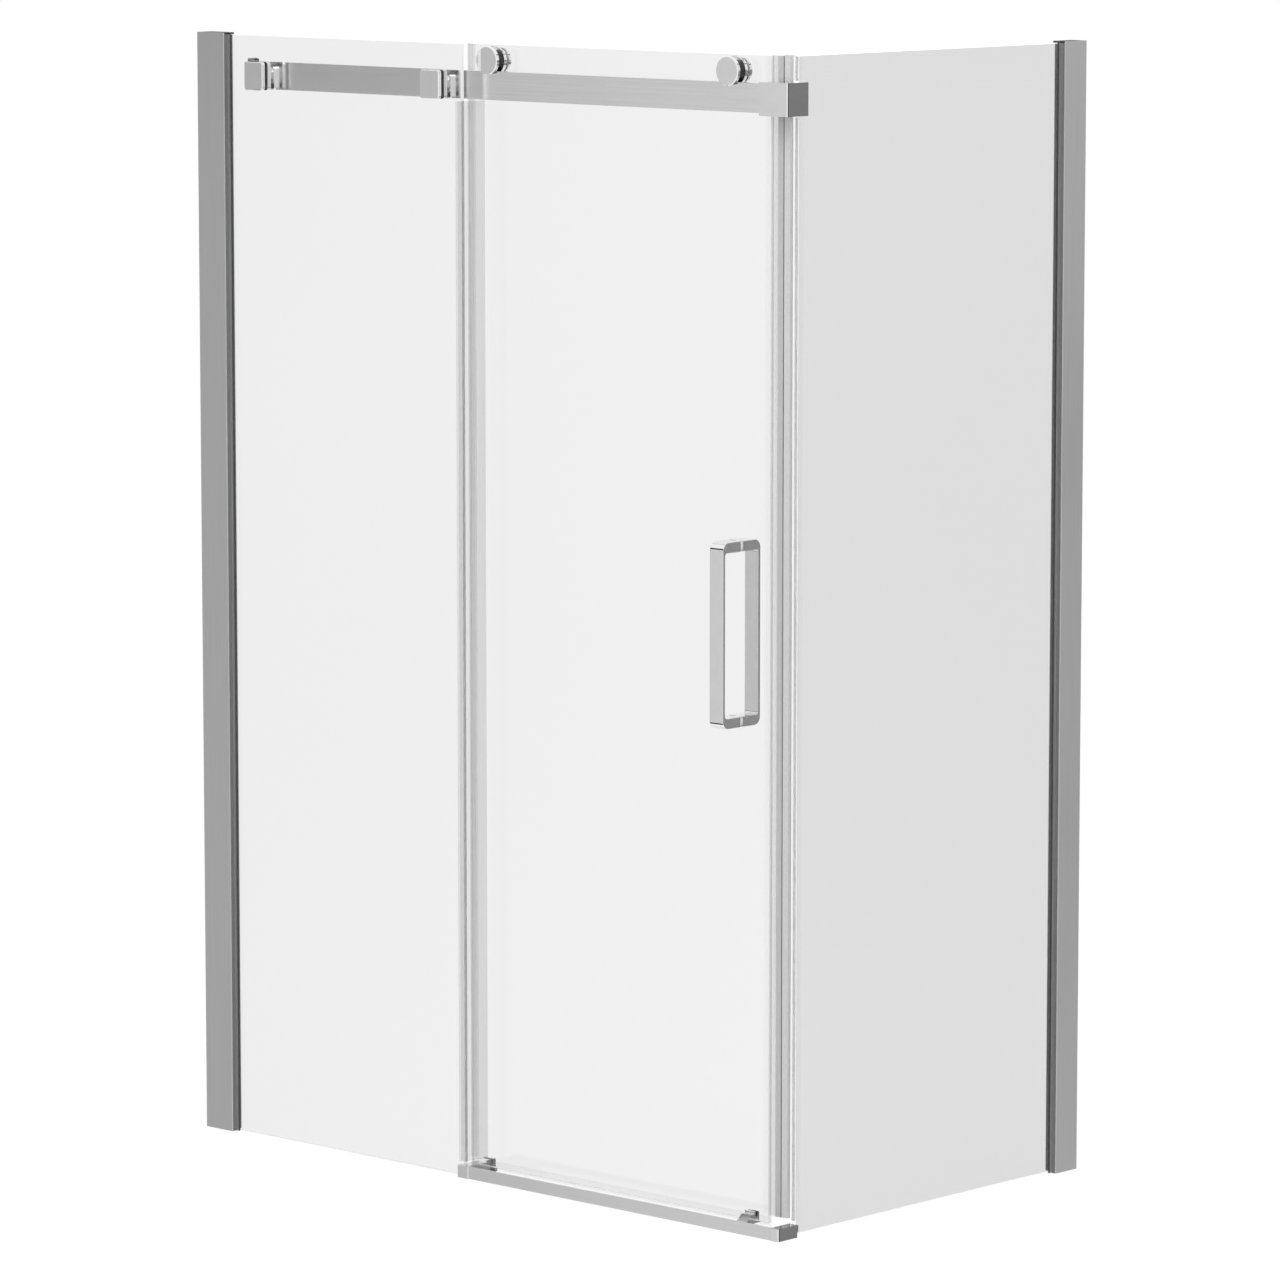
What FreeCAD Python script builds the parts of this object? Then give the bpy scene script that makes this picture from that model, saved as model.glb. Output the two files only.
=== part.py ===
import FreeCAD, Part
import Sketcher
import os

# Shower enclosure for a corner: a fixed pane and a sliding door along the front, a return pane on the right.
# Millimetres, +Z up, front towards -Y. The origin is the middle of the floor rectangle.
# Left wall at -X, right open side at +X, back wall at +Y.

os.makedirs("parts", exist_ok=True)
doc = FreeCAD.newDocument("shower_enclosure")
sheet = doc.addObject("Spreadsheet::Sheet", "sizes")
pieces = []

dimensions = {
    # Whole enclosure
    "overall_width": 1400,
    "overall_depth": 800,
    "overall_height": 2000,
    "glass_thickness": 8,
    "glass_bevel": 0.8,
    "face_gap": 0.3,
    "cut_overshoot": 1,

    # Wall channels and glazing channels
    "profile_depth": 36,
    "profile_wall": 2,
    "mouth_rounding": 1.5,
    "wall_profile_reach_left": 68,
    "wall_profile_reach_right": 58,
    "nose_reach_left": 5,
    "nose_reach_right": 3.5,
    "nose_depth": 16,
    "inner_setback": 9,
    "slide_clearance": 0.2,
    "slide_leg_length": 26,
    "glass_bite": 25,
    "glass_edge_gap": 4,
    "glass_edge_channel_depth": 12,
    "gasket_gap": 1.5,
    "gasket_wedge_depth": 7,
    "gasket_head": 1,
    "gasket_head_height": 3,
    "wiper_width": 4.4,
    "wiper_recess": 0.6,
    "cap_thickness": 2.5,
    "cap_overhang": 1,
    "cap_plug_depth": 12,
    "cap_plug_length": 14,
    "wall_screw_hole_radius": 3,
    "wall_screw_inset": 150,
    "locking_screw_radius": 2,
    "locking_screw_length": 5,
    "locking_head_radius": 4,
    "locking_head_height": 2.5,
    "locking_socket": 3,
    "locking_socket_depth": 1.5,
    "middle_screw_lift": 16,
    "locking_screw_inset": 30,
    "locking_screw_end": 200,
    "screw_clearance": 0.1,

    # Panes
    "fixed_panel_reach": 648,
    "pane_floor_gap": 1.5,
    "pane_top_drop": 3,
    "side_glass_setback": 47,
    "door_overlap": 35.4,
    "door_setback": 80.5,
    "door_floor_gap": 10,
    "door_top_drop": 4.7,
    "door_gap": 10,

    # Rail, its stop and its clamps
    "rail_gap": 24,
    "rail_thickness": 12,
    "rail_height": 50,
    "rail_drop": 50,
    "rail_start": 85.5,
    "rail_edge_rounding": 1,
    "stop_length": 5.5,
    "stop_height": 4,
    "stop_leg_thickness": 8,
    "stop_leg_length": 35,
    "buffer_depth": 14,
    "buffer_length": 4.9,
    "travel_gap": 0.25,
    "clamp_inset_left": 137.5,
    "clamp_inset_right": 70,
    "clamp_width": 46,
    "clamp_height": 50,
    "clamp_corner_radius": 5,
    "clamp_plate_thickness": 7,
    "clamp_bevel": 1,
    "clamp_front_gasket": 1,
    "clamp_back_gasket": 1.5,
    "clamp_hole_radius": 7,
    "spacer_plate_thickness": 8,
    "spacer_neck_radius": 15,
    "spacer_flange_thickness": 6.5,
    "disc_clearance": 1.5,
    "clamp_bolt_radius": 4,
    "clamp_bolt_clearance": 0.2,
    "clamp_bolt_head_radius": 7,
    "clamp_bolt_head_height": 4,
    "clamp_bolt_socket": 5,
    "clamp_bolt_socket_depth": 2.4,
    "clamp_bolt_bite": 4,
    "sleeve_clearance": 0.1,

    # Corner block at the rail's right end
    "block_reach": 49,
    "block_front_wall": 21,
    "block_wall": 3,
    "block_back_gap": 1,
    "block_corner_radius": 4,
    "block_edge_rounding": 1,
    "cheek_thickness": 5.5,
    "cheek_length": 18,
    "corner_gasket": 1,
    "corner_plate_thickness": 6,
    "corner_plate_rounding": 3,
    "rail_pocket_depth": 41,
    "rail_pocket_clearance": 0.1,
    "corner_bolt_radius": 2.5,
    "corner_bolt_head_radius": 4.5,
    "corner_bolt_head_height": 2.5,
    "corner_bolt_socket": 3,
    "corner_bolt_socket_depth": 1.5,
    "corner_bolt_bite": 3.7,
    "corner_bolt_half_spacing": 13,
    "corner_bolt_inset": 10,
    "corner_hole_radius": 5,
    "rail_screw_inset": 20,
    "rail_screw_bite": 8,

    # Sill, its end pieces and the fixed guide
    "sill_stand_out": 10,
    "sill_depth": 47,
    "sill_height": 22,
    "sill_wall": 2.5,
    "sill_base": 3,
    "sill_lip_height": 9,
    "sill_edge_rounding": 1,
    "end_proud": 2,
    "end_rounding": 4,
    "end_edge_rounding": 1.5,
    "end_left_length": 26,
    "end_left_overlap": 7,
    "end_right_length": 18,
    "end_tongue_length": 12,
    "end_tongue_height": 5,
    "end_arm_height": 15,
    "end_arm_length": 9.2,
    "end_cheek_thickness": 7.7,
    "end_cheek_length": 14,
    "guide_length": 24,
    "guide_overlap": 12,
    "guide_height": 24,
    "guide_nose_height": 12,
    "guide_slope_run": 8,
    "guide_floor": 2,
    "guide_cheek": 5,
    "guide_pad": 1.5,

    # Seals
    "clip_thickness": 1,
    "clip_leg_length": 13,
    "fixed_seal_reach": 7,
    "fixed_seal_web": 1.8,
    "fixed_seal_arm": 21,
    "fixed_seal_fin": 1,
    "seal_end_gap": 2.5,
    "side_seal_arm": 1.2,
    "side_housing_reach": 35,
    "side_housing_length": 15.7,
    "housing_depth": 10,
    "housing_wall": 1.2,
    "magnet_clearance": 0.2,
    "door_tube_length": 12.5,
    "trailing_bulb": 3.5,
    "bottom_seal_height": 11,
    "bottom_fin_drop": 7,
    "bottom_fin_width": 1.2,

    # Handle
    "handle_inset": 81.75,
    "handle_width": 31,
    "handle_length": 318,
    "handle_middle": 1016.75,
    "handle_stand_out": 45,
    "handle_bar": 5.6,
    "handle_arm": 18.2,
    "handle_corner_radius": 14,
    "handle_inner_radius": 5,
    "handle_edge_rounding": 1,
    "handle_washer": 1,
    "handle_washer_radius": 8.8,
    "handle_hole_radius": 6,
    "handle_bolt_radius": 4,
    "handle_bolt_bite": 12,

    # Door guide on the sill's lip
    "door_guide_inset": 29,
    "door_guide_length": 22,
    "door_guide_leg": 4,
    "door_guide_height": 16,
    "door_guide_plate_height": 26,
    "hook_front_reach": 10,
    "hook_floor_gap": 2,
    "hook_slope_start": 9,
    "hook_slope_run": 16,
    "hook_top": 21.2,
    "hook_clearance": 0.7,

    # Rollers
    "roller_inset_left": 71.9,
    "roller_inset_right": 75,
    "disc_radius": 25,
    "disc_bevel": 1.5,
    "cover_thickness": 4,
    "hub_radius": 13,
    "hub_fit": 0.05,
    "front_flange": 6.6,
    "rear_flange": 8,
    "groove_clearance": 0.4,
    "tyre_radius": 17.7,
    "tyre_thickness": 2.2,
    "rolling_gap": 0.3,
    "bearing_radius": 11,
    "bearing_width": 7,
    "bearing_fit": 0.02,
    "bearing_ring": 1.8,
    "shield_recess": 0.3,
    "axle_radius": 4,
    "axle_fit": 0.04,
    "axle_head_radius": 6.5,
    "axle_head_recess": 9,
    "axle_head_gap": 1.3,
    "axle_end_gap": 0.1,
    "axle_shoulder_radius": 6,
    "axle_thread_radius": 5,
    "bush_radius": 9.8,
    "bush_flange_radius": 14,
    "bush_flange": 1.1,
    "roller_hole_radius": 10,
    "inner_gasket": 1,
    "inner_cap_radius": 22,
    "inner_cap_height": 7,
    "inner_cap_floor": 1,
}
for row, (name, value) in enumerate(dimensions.items(), start=1):
    sheet.set("A%d" % row, name)
    sheet.set("B%d" % row, str(value))
    sheet.setAlias("B%d" % row, name)

doc.recompute()

# Places worked out from the sizes
wall_left = "(-sizes.overall_width / 2)"
wall_right = "(sizes.overall_width / 2)"
wall_back = "(sizes.overall_depth / 2)"
half_profile = "(sizes.profile_depth / 2)"
half_glass = "(sizes.glass_thickness / 2)"
pane_middle = f"(-sizes.overall_depth / 2 + {half_profile})"
pane_front = f"({pane_middle} - {half_glass})"
pane_back = f"({pane_middle} + {half_glass})"
side_middle = f"({wall_right} - {half_profile})"
side_front_edge = f"({pane_front} + sizes.side_glass_setback)"
fixed_right = f"({wall_left} + sizes.fixed_panel_reach)"

rail_front = f"({pane_back} + sizes.rail_gap)"
rail_back = f"({rail_front} + sizes.rail_thickness)"
rail_middle_y = f"({rail_front} + sizes.rail_thickness / 2)"
rail_top = "(sizes.overall_height - sizes.rail_drop)"
rail_bottom = f"({rail_top} - sizes.rail_height)"
rail_middle_z = f"({rail_top} - sizes.rail_height / 2)"
rail_left = f"({wall_left} + sizes.rail_start)"
block_left = f"({side_middle} - {half_glass} - sizes.block_reach)"
rail_length = f"({block_left} + sizes.rail_pocket_depth - {rail_left})"

door_front = f"({rail_back} + sizes.door_gap)"
door_middle = f"({door_front} + {half_glass})"
door_left = f"({fixed_right} - sizes.door_overlap)"
door_right = f"({wall_right} - sizes.door_setback)"
handle_x = f"({door_right} - sizes.handle_inset)"
roller_x = {
    "left": f"({door_left} + sizes.roller_inset_left)",
    "right": f"({door_right} - sizes.roller_inset_right)",
}
roller_z = f"({rail_top} + sizes.rolling_gap + sizes.tyre_radius)"
clamp_x = {
    "a": f"({wall_left} + sizes.clamp_inset_left)",
    "b": f"({fixed_right} - sizes.clamp_inset_right)",
}
seal_edge = f"({fixed_right} + sizes.fixed_seal_reach)"
handle_travel = f"({handle_x} - sizes.handle_width / 2 - {seal_edge} - sizes.travel_gap)"
buffer_start = f"({rail_left} + sizes.stop_length)"
buffer_end = f"({buffer_start} + sizes.buffer_length)"
buffer_drop = f"({roller_z} - {rail_top} - sizes.stop_height + sizes.rail_edge_rounding)"
disc_reach = f"sqrt(sizes.disc_radius^2 - {buffer_drop}^2)"
stop_travel = f"({roller_x['left']} - {disc_reach} - sizes.face_gap - {buffer_end})"
door_travel = f"min({handle_travel}; {stop_travel})"

sill_front = f"({pane_front} - sizes.sill_stand_out)"
sill_back = f"({sill_front} + sizes.sill_depth)"
sill_left = f"({fixed_right} - sizes.end_left_overlap + sizes.end_left_length)"
sill_right = f"({wall_right} - sizes.end_right_length)"

profile_place = {
    "left": (wall_left, pane_middle, "0", 0),
    "right": (side_middle, wall_back, "0", -90),
}
channel_height = "(sizes.overall_height - sizes.cap_thickness)"
wall_screw_heights = (
    "sizes.wall_screw_inset",
    "sizes.overall_height / 2",
    "sizes.overall_height - sizes.wall_screw_inset",
)
locking_screw_heights = (
    "sizes.locking_screw_end",
    "sizes.overall_height / 2 + sizes.middle_screw_lift",
    "sizes.overall_height - sizes.locking_screw_end",
)


def number(expression):
    """Value of an expression of the sheet's sizes."""
    return float(sheet.evalExpression(expression))


def new_body(label, x, y, z, turn=0):
    """Body of one piece, placed by expressions and turned about +Z by a fixed angle."""
    body = doc.addObject("PartDesign::Body", label)
    body.Label = label
    rotation = FreeCAD.Rotation(FreeCAD.Vector(0, 0, 1), turn)
    body.Placement = FreeCAD.Placement(FreeCAD.Vector(number(x), number(y), number(z)), rotation)
    body.setExpression("Placement.Base.x", x)
    body.setExpression("Placement.Base.y", y)
    body.setExpression("Placement.Base.z", z)
    pieces.append(body)
    return body


def origin_feature(body, role):
    """Origin plane or axis of a body, such as XY_Plane or Y_Axis."""
    return [feature for feature in body.Origin.OriginFeatures if feature.Role == role][0]


def new_sketch(body, role, name, lift="0"):
    """Sketch on an origin plane of the body, lifted along the plane's positive axis."""
    sketch = body.newObject("Sketcher::SketchObject", body.Label + "_" + name)
    sketch.AttachmentSupport = [(origin_feature(body, role), "")]
    sketch.MapMode = "FlatFace"
    if role == "XZ_Plane":
        lift = f"-({lift})"
    sketch.setExpression("AttachmentOffset.Base.z", lift)
    return sketch


def faces_positive(sketch):
    """True where the sketch's normal is a positive axis: the XZ plane's normal is -Y."""
    return sketch.AttachmentSupport[0][0].Role != "XZ_Plane"


def draw_outline(sketch, corners):
    """Closed outline through corners given as pairs of expressions."""
    points = [FreeCAD.Vector(number(u), number(v), 0) for u, v in corners]
    first = sketch.GeometryCount
    count = len(points)
    lines = [Part.LineSegment(points[i], points[(i + 1) % count]) for i in range(count)]
    sketch.addGeometry(lines, False)
    for i in range(count):
        sketch.addConstraint(Sketcher.Constraint("Coincident", first + i, 2, first + (i + 1) % count, 1))
    for i, (u, v) in enumerate(corners):
        for kind, value, expression in (("DistanceX", points[i].x, u), ("DistanceY", points[i].y, v)):
            index = sketch.addConstraint(Sketcher.Constraint(kind, -1, 1, first + i, 1, value))
            sketch.setExpression("Constraints[%d]" % index, expression)


def draw_rectangle(sketch, left, bottom, right, top):
    draw_outline(sketch, [(left, bottom), (right, bottom), (right, top), (left, top)])


def draw_circle(sketch, u, v, radius):
    """Circle with its centre and radius bound to expressions."""
    centre = FreeCAD.Vector(number(u), number(v), 0)
    circle = Part.Circle(centre, FreeCAD.Vector(0, 0, 1), number(radius))
    index = sketch.addGeometry(circle, False)
    bound = (
        (Sketcher.Constraint("Radius", index, number(radius)), radius),
        (Sketcher.Constraint("DistanceX", -1, 1, index, 3, centre.x), u),
        (Sketcher.Constraint("DistanceY", -1, 1, index, 3, centre.y), v),
    )
    for constraint, expression in bound:
        sketch.setExpression("Constraints[%d]" % sketch.addConstraint(constraint), expression)


def draw_hexagon(sketch, u, v, across):
    """Hexagon about a centre, with its size across the flats."""
    corner = f"{across} / sqrt(3)"
    left = f"{u} - {corner} / 2"
    right = f"{u} + {corner} / 2"
    top = f"{v} + {across} / 2"
    bottom = f"{v} - {across} / 2"
    draw_outline(sketch, [
        (f"{u} + {corner}", v), (right, top), (left, top),
        (f"{u} - {corner}", v), (left, bottom), (right, bottom),
    ])


def pad(body, sketch, length):
    """Pad along the positive axis of the sketch's plane."""
    feature = body.newObject("PartDesign::Pad", sketch.Name + "_pad")
    feature.Profile = sketch
    feature.setExpression("Length", length)
    feature.Reversed = not faces_positive(sketch)
    doc.recompute()


def pocket(body, sketch, length=None, towards_negative=False):
    """Pocket along the plane's axis, as deep as length or through everything on that side."""
    before = body.Tip.Shape.Volume
    feature = body.newObject("PartDesign::Pocket", sketch.Name + "_pocket")
    feature.Profile = sketch
    if length is None:
        feature.Type = "ThroughAll"
    else:
        feature.setExpression("Length", length)
    feature.Reversed = faces_positive(sketch) != towards_negative
    doc.recompute()
    if feature.Shape.Volume >= before:
        raise RuntimeError("nothing cut by " + feature.Name)


def revolve(body, sketch):
    """Turn the sketch once round the body's Y axis."""
    feature = body.newObject("PartDesign::Revolution", sketch.Name + "_turned")
    feature.Profile = sketch
    feature.ReferenceAxis = (origin_feature(body, "Y_Axis"), [""])
    feature.Angle = 360
    doc.recompute()


def dress(body, kind, amount, chosen):
    """Fillet or Chamfer on the tip's edges for which chosen(edge) is true."""
    base = body.Tip
    names = ["Edge%d" % (i + 1) for i, edge in enumerate(base.Shape.Edges) if chosen(edge)]
    if not names:
        raise RuntimeError("no edges to dress on " + body.Label)
    feature = body.newObject("PartDesign::" + kind, body.Label + "_" + kind.lower())
    feature.Base = (base, names)
    feature.setExpression("Radius" if kind == "Fillet" else "Size", amount)
    doc.recompute()


def straight(edge, axis):
    """True for a straight edge that runs along one axis, given as x, y or z."""
    if edge.Curve.TypeId != "Part::GeomLine":
        return False
    direction = edge.Vertexes[-1].Point.sub(edge.Vertexes[0].Point)
    return direction.Length > 1e-6 and abs(getattr(direction, axis)) > 0.999 * direction.Length


def edge_at(edge, axis, **where):
    """True for a straight edge along the axis whose middle has the given coordinates."""
    middle = edge.CenterOfMass
    near = all(abs(getattr(middle, name) - number(value)) < 1e-3 for name, value in where.items())
    return straight(edge, axis) and near


def mirrored(half):
    """Closed outline from its upper half, repeated below the middle line."""
    return half + [(u, f"-({v})") for u, v in reversed(half)]


def set_back(side):
    """Set-backs of a channel's two lips, above and below its middle line: the shower's side is shorter."""
    return ("sizes.inner_setback", "0") if side == "left" else ("0", "sizes.inner_setback")


def uneven(side, half):
    """Closed outline from half(setback), drawn above the middle line and mirrored below it."""
    above, below = set_back(side)
    return half(above) + [(u, f"-({v})") for u, v in reversed(half(below))]


# Wall and glazing channels. Local X leads away from the wall and local Y crosses the glass.

def nose_mouth(side):
    return f"(sizes.wall_profile_reach_{side} + sizes.nose_reach_{side})"


def glass_edge(side):
    """Distance from the wall to the buried edge of the pane."""
    return f"({nose_mouth(side)} - sizes.glass_bite)"


def web_front(side):
    return f"({glass_edge(side)} - sizes.glass_edge_gap)"


def make_wall_profile(side):
    body = new_body("wall_profile_" + side, *profile_place[side])
    reach = f"sizes.wall_profile_reach_{side}"
    inner = f"({half_profile} - sizes.profile_wall)"
    section = new_sketch(body, "XY_Plane", "section")

    def half_channel(setback):
        tip = f"({reach} - {setback})"
        return [("sizes.profile_wall", inner), (tip, inner), (tip, half_profile), ("0", half_profile)]

    draw_outline(section, uneven(side, half_channel))
    pad(body, section, "sizes.overall_height")
    above, below = set_back(side)
    dress(body, "Fillet", "sizes.mouth_rounding",
          lambda edge: edge_at(edge, "z", x=f"{reach} - {above}", y=half_profile)
          or edge_at(edge, "z", x=f"{reach} - {below}", y="-" + half_profile))
    wall_holes = new_sketch(body, "YZ_Plane", "wall_holes", "-sizes.cut_overshoot")
    for height in wall_screw_heights:
        draw_circle(wall_holes, "0", height, "sizes.wall_screw_hole_radius")
    pocket(body, wall_holes)
    cut_locking_holes(body, side)


def cut_locking_holes(body, side):
    """Holes for the locking screws through the leg on the shower's inner side."""
    holes = new_sketch(body, "XZ_Plane", "locking_holes")
    across = f"sizes.wall_profile_reach_{side} - sizes.locking_screw_inset"
    for height in locking_screw_heights:
        draw_circle(holes, across, height, "sizes.locking_screw_radius + sizes.screw_clearance")
    pocket(body, holes, towards_negative=side == "right")


def make_glazing_profile(side):
    body = new_body("glazing_profile_" + side, *profile_place[side])
    wall = "sizes.profile_wall"
    nose = "sizes.nose_depth / 2"
    leg = f"({half_profile} - {wall} - sizes.slide_clearance)"
    mouth = nose_mouth(side)
    web = web_front(side)
    lip = f"({half_glass} + sizes.gasket_gap)"

    def half_profile_section(setback):
        tip = f"({mouth} - {setback})"
        return [
            (web, f"{nose} - {wall}"),
            (f"{tip} - {wall}", f"{nose} - {wall}"),
            (f"{tip} - {wall}", lip),
            (tip, lip),
            (tip, nose),
            (f"{web} + {wall}", nose),
            (f"{web} + {wall}", leg),
            (f"{web} - sizes.slide_leg_length", leg),
            (f"{web} - sizes.slide_leg_length", f"{leg} - {wall}"),
            (f"{web} - {wall}", f"{leg} - {wall}"),
        ]

    section = new_sketch(body, "XY_Plane", "section")
    draw_outline(section, uneven(side, half_profile_section))
    pad(body, section, channel_height)
    cut_locking_holes(body, side)


def make_wiper_strips(side):
    """Pair of strips between the wall channel's mouth and the glazing channel's nose."""
    body = new_body("wiper_strips_" + side, *profile_place[side])
    section = new_sketch(body, "XY_Plane", "section")
    nose = "sizes.nose_depth / 2"
    leg = f"({half_profile} - sizes.profile_wall)"
    above, below = set_back(side)
    for setback, near, far in ((above, nose, leg), (below, f"-{leg}", f"-{nose}")):
        outer = f"(sizes.wall_profile_reach_{side} - sizes.wiper_recess - {setback})"
        draw_rectangle(section, f"{outer} - sizes.wiper_width", near, outer, far)
    pad(body, section, channel_height)


def make_glazing_gaskets(side):
    """Two wedge gaskets in the nose and the channel round the pane's buried edge."""
    body = new_body("glazing_gaskets_" + side, *profile_place[side])
    section = new_sketch(body, "XY_Plane", "section")
    mouth = nose_mouth(side)
    lip = f"({half_glass} + sizes.gasket_gap)"
    head = f"({half_glass} + sizes.gasket_head_height)"

    def wedge(setback):
        tip = f"({mouth} - {setback})"
        return [
            (f"{tip} - sizes.gasket_wedge_depth", half_glass),
            (f"{tip} + sizes.gasket_head", half_glass),
            (f"{tip} + sizes.gasket_head", head),
            (tip, head),
            (tip, lip),
            (f"{tip} - sizes.gasket_wedge_depth", lip),
        ]

    above, below = set_back(side)
    draw_outline(section, wedge(above))
    draw_outline(section, [(u, f"-({v})") for u, v in wedge(below)])
    web = web_front(side)
    pocket_side = "(sizes.nose_depth / 2 - sizes.profile_wall)"
    end = f"{web} + sizes.glass_edge_channel_depth"
    channel = [(glass_edge(side), half_glass), (end, half_glass), (end, pocket_side), (web, pocket_side)]
    draw_outline(section, mirrored(channel))
    pad(body, section, channel_height)


def make_profile_cap(side):
    """End cap over both channels, with a plug that hangs behind the glazing channel's web."""
    x, y, _, turn = profile_place[side]
    body = new_body("profile_cap_" + side, x, y, channel_height, turn)
    reach = f"sizes.wall_profile_reach_{side}"
    leg = f"({half_profile} - sizes.profile_wall - sizes.slide_clearance)"
    start = "sizes.profile_wall + sizes.slide_clearance"
    nose = "sizes.nose_depth / 2"

    def half_plate(setback):
        end = f"{nose_mouth(side)} + sizes.cap_overhang - {setback}"
        shoulder = f"{reach} - {setback}"
        return [(end, nose), (shoulder, nose), (shoulder, leg), (start, leg)]

    plate = new_sketch(body, "XY_Plane", "plate")
    draw_outline(plate, uneven(side, half_plate))
    pad(body, plate, "sizes.cap_thickness")
    web_back = f"({web_front(side)} - sizes.profile_wall - sizes.slide_clearance)"
    plug = new_sketch(body, "XY_Plane", "plug", "-sizes.cap_plug_depth")
    plug_start = f"{web_back} - sizes.cap_plug_length"
    plug_side = f"{leg} - sizes.profile_wall - sizes.slide_clearance"
    draw_rectangle(plug, plug_start, f"-({plug_side})", web_back, plug_side)
    pad(body, plug, "sizes.cap_plug_depth")


def make_profile_screws(side):
    """Three locking screws through both channels' inner legs. Local +Y points into the shower."""
    reach = f"(sizes.wall_profile_reach_{side} - sizes.locking_screw_inset)"
    if side == "left":
        place = (f"{wall_left} + {reach}", f"{pane_middle} + {half_profile}", "0", 0)
    else:
        place = (f"{side_middle} - {half_profile}", f"{wall_back} - {reach}", "0", 90)
    body = new_body("profile_screws_" + side, *place)
    shanks = new_sketch(body, "XZ_Plane", "shanks", "-sizes.locking_screw_length")
    heads = new_sketch(body, "XZ_Plane", "heads")
    socket_floor = "sizes.locking_head_height - sizes.locking_socket_depth"
    sockets = new_sketch(body, "XZ_Plane", "sockets", socket_floor)
    for height in locking_screw_heights:
        draw_circle(shanks, "0", height, "sizes.locking_screw_radius")
        draw_circle(heads, "0", height, "sizes.locking_head_radius")
        draw_hexagon(sockets, "0", height, "sizes.locking_socket")
    pad(body, shanks, "sizes.locking_screw_length")
    pad(body, heads, "sizes.locking_head_height")
    pocket(body, sockets)


# Panes. Local Y, or local X on the side pane, is zero in the middle of the glass.

def bevel_pane(body, across):
    """Arris on the long edges of both faces. across is the axis through the glass."""
    along = [axis for axis in "xyz" if axis != across]
    dress(body, "Chamfer", "sizes.glass_bevel",
          lambda edge: straight(edge, along[0]) or straight(edge, along[1]))


def make_front_pane(label, left, middle, bottom, width, height, holes):
    """Upright pane along the front. holes are triples of X, Z and radius in the enclosure's frame."""
    body = new_body(label, left, middle, bottom)
    outline = new_sketch(body, "XZ_Plane", "outline", f"-{half_glass}")
    draw_rectangle(outline, "0", "0", width, height)
    pad(body, outline, "sizes.glass_thickness")
    bevel_pane(body, "y")
    drilled = new_sketch(body, "XZ_Plane", "holes", f"-{half_glass} - sizes.cut_overshoot")
    for x, z, radius in holes:
        draw_circle(drilled, f"{x} - {left}", f"{z} - {bottom}", radius)
    pocket(body, drilled)


def make_fixed_glass():
    left = f"({wall_left} + {glass_edge('left')})"
    height = "sizes.overall_height - sizes.pane_top_drop - sizes.pane_floor_gap"
    holes = [(clamp_x[name], rail_middle_z, "sizes.clamp_hole_radius") for name in clamp_x]
    make_front_pane("fixed_glass", left, pane_middle, "sizes.pane_floor_gap",
                    f"{fixed_right} - {left}", height, holes)


def make_door_glass():
    height = "sizes.overall_height - sizes.door_top_drop - sizes.door_floor_gap"
    holes = [(roller_x[side], roller_z, "sizes.roller_hole_radius") for side in roller_x]
    for sign in ("-", "+"):
        height_of_bolt = f"(sizes.handle_middle {sign} {handle_bolt_reach})"
        holes.append((handle_x, height_of_bolt, "sizes.handle_hole_radius"))
    make_front_pane("door_glass", door_left, door_middle, "sizes.door_floor_gap",
                    f"{door_right} - {door_left}", height, holes)


def make_side_glass():
    body = new_body("side_glass", side_middle, side_front_edge, "sizes.pane_floor_gap")
    outline = new_sketch(body, "YZ_Plane", "outline", f"-{half_glass}")
    length = f"{wall_back} - {glass_edge('right')} - {side_front_edge}"
    height = "sizes.overall_height - sizes.pane_top_drop - sizes.pane_floor_gap"
    draw_rectangle(outline, "0", "0", length, height)
    pad(body, outline, "sizes.glass_thickness")
    bevel_pane(body, "x")
    holes = new_sketch(body, "YZ_Plane", "holes", f"-{half_glass} - sizes.cut_overshoot")
    for sign in ("-", "+"):
        z = f"{rail_middle_z} - sizes.pane_floor_gap {sign} sizes.corner_bolt_half_spacing"
        draw_circle(holes, "sizes.corner_bolt_inset", z, "sizes.corner_hole_radius")
    pocket(body, holes)


# Rail, stop and clamps

def make_rail():
    body = new_body("rail", rail_left, rail_front, rail_bottom)
    face = new_sketch(body, "XZ_Plane", "face")
    draw_rectangle(face, "0", "0", rail_length, "sizes.rail_height")
    pad(body, face, "sizes.rail_thickness")
    dress(body, "Fillet", "sizes.rail_edge_rounding", lambda edge: straight(edge, "x"))
    holes = new_sketch(body, "XZ_Plane", "bolt_holes", "-sizes.cut_overshoot")
    radius = "sizes.clamp_bolt_radius + sizes.clamp_bolt_clearance"
    for x in clamp_x.values():
        draw_circle(holes, f"{x} - {rail_left}", "sizes.rail_height / 2", radius)
    pocket(body, holes)
    tapped = new_sketch(body, "XZ_Plane", "end_hole", "sizes.rail_thickness - sizes.rail_screw_bite")
    end_hole = f"{rail_length} - sizes.rail_screw_inset"
    draw_circle(tapped, end_hole, "sizes.rail_height / 2", "sizes.corner_bolt_radius + sizes.screw_clearance")
    pocket(body, tapped)


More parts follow.
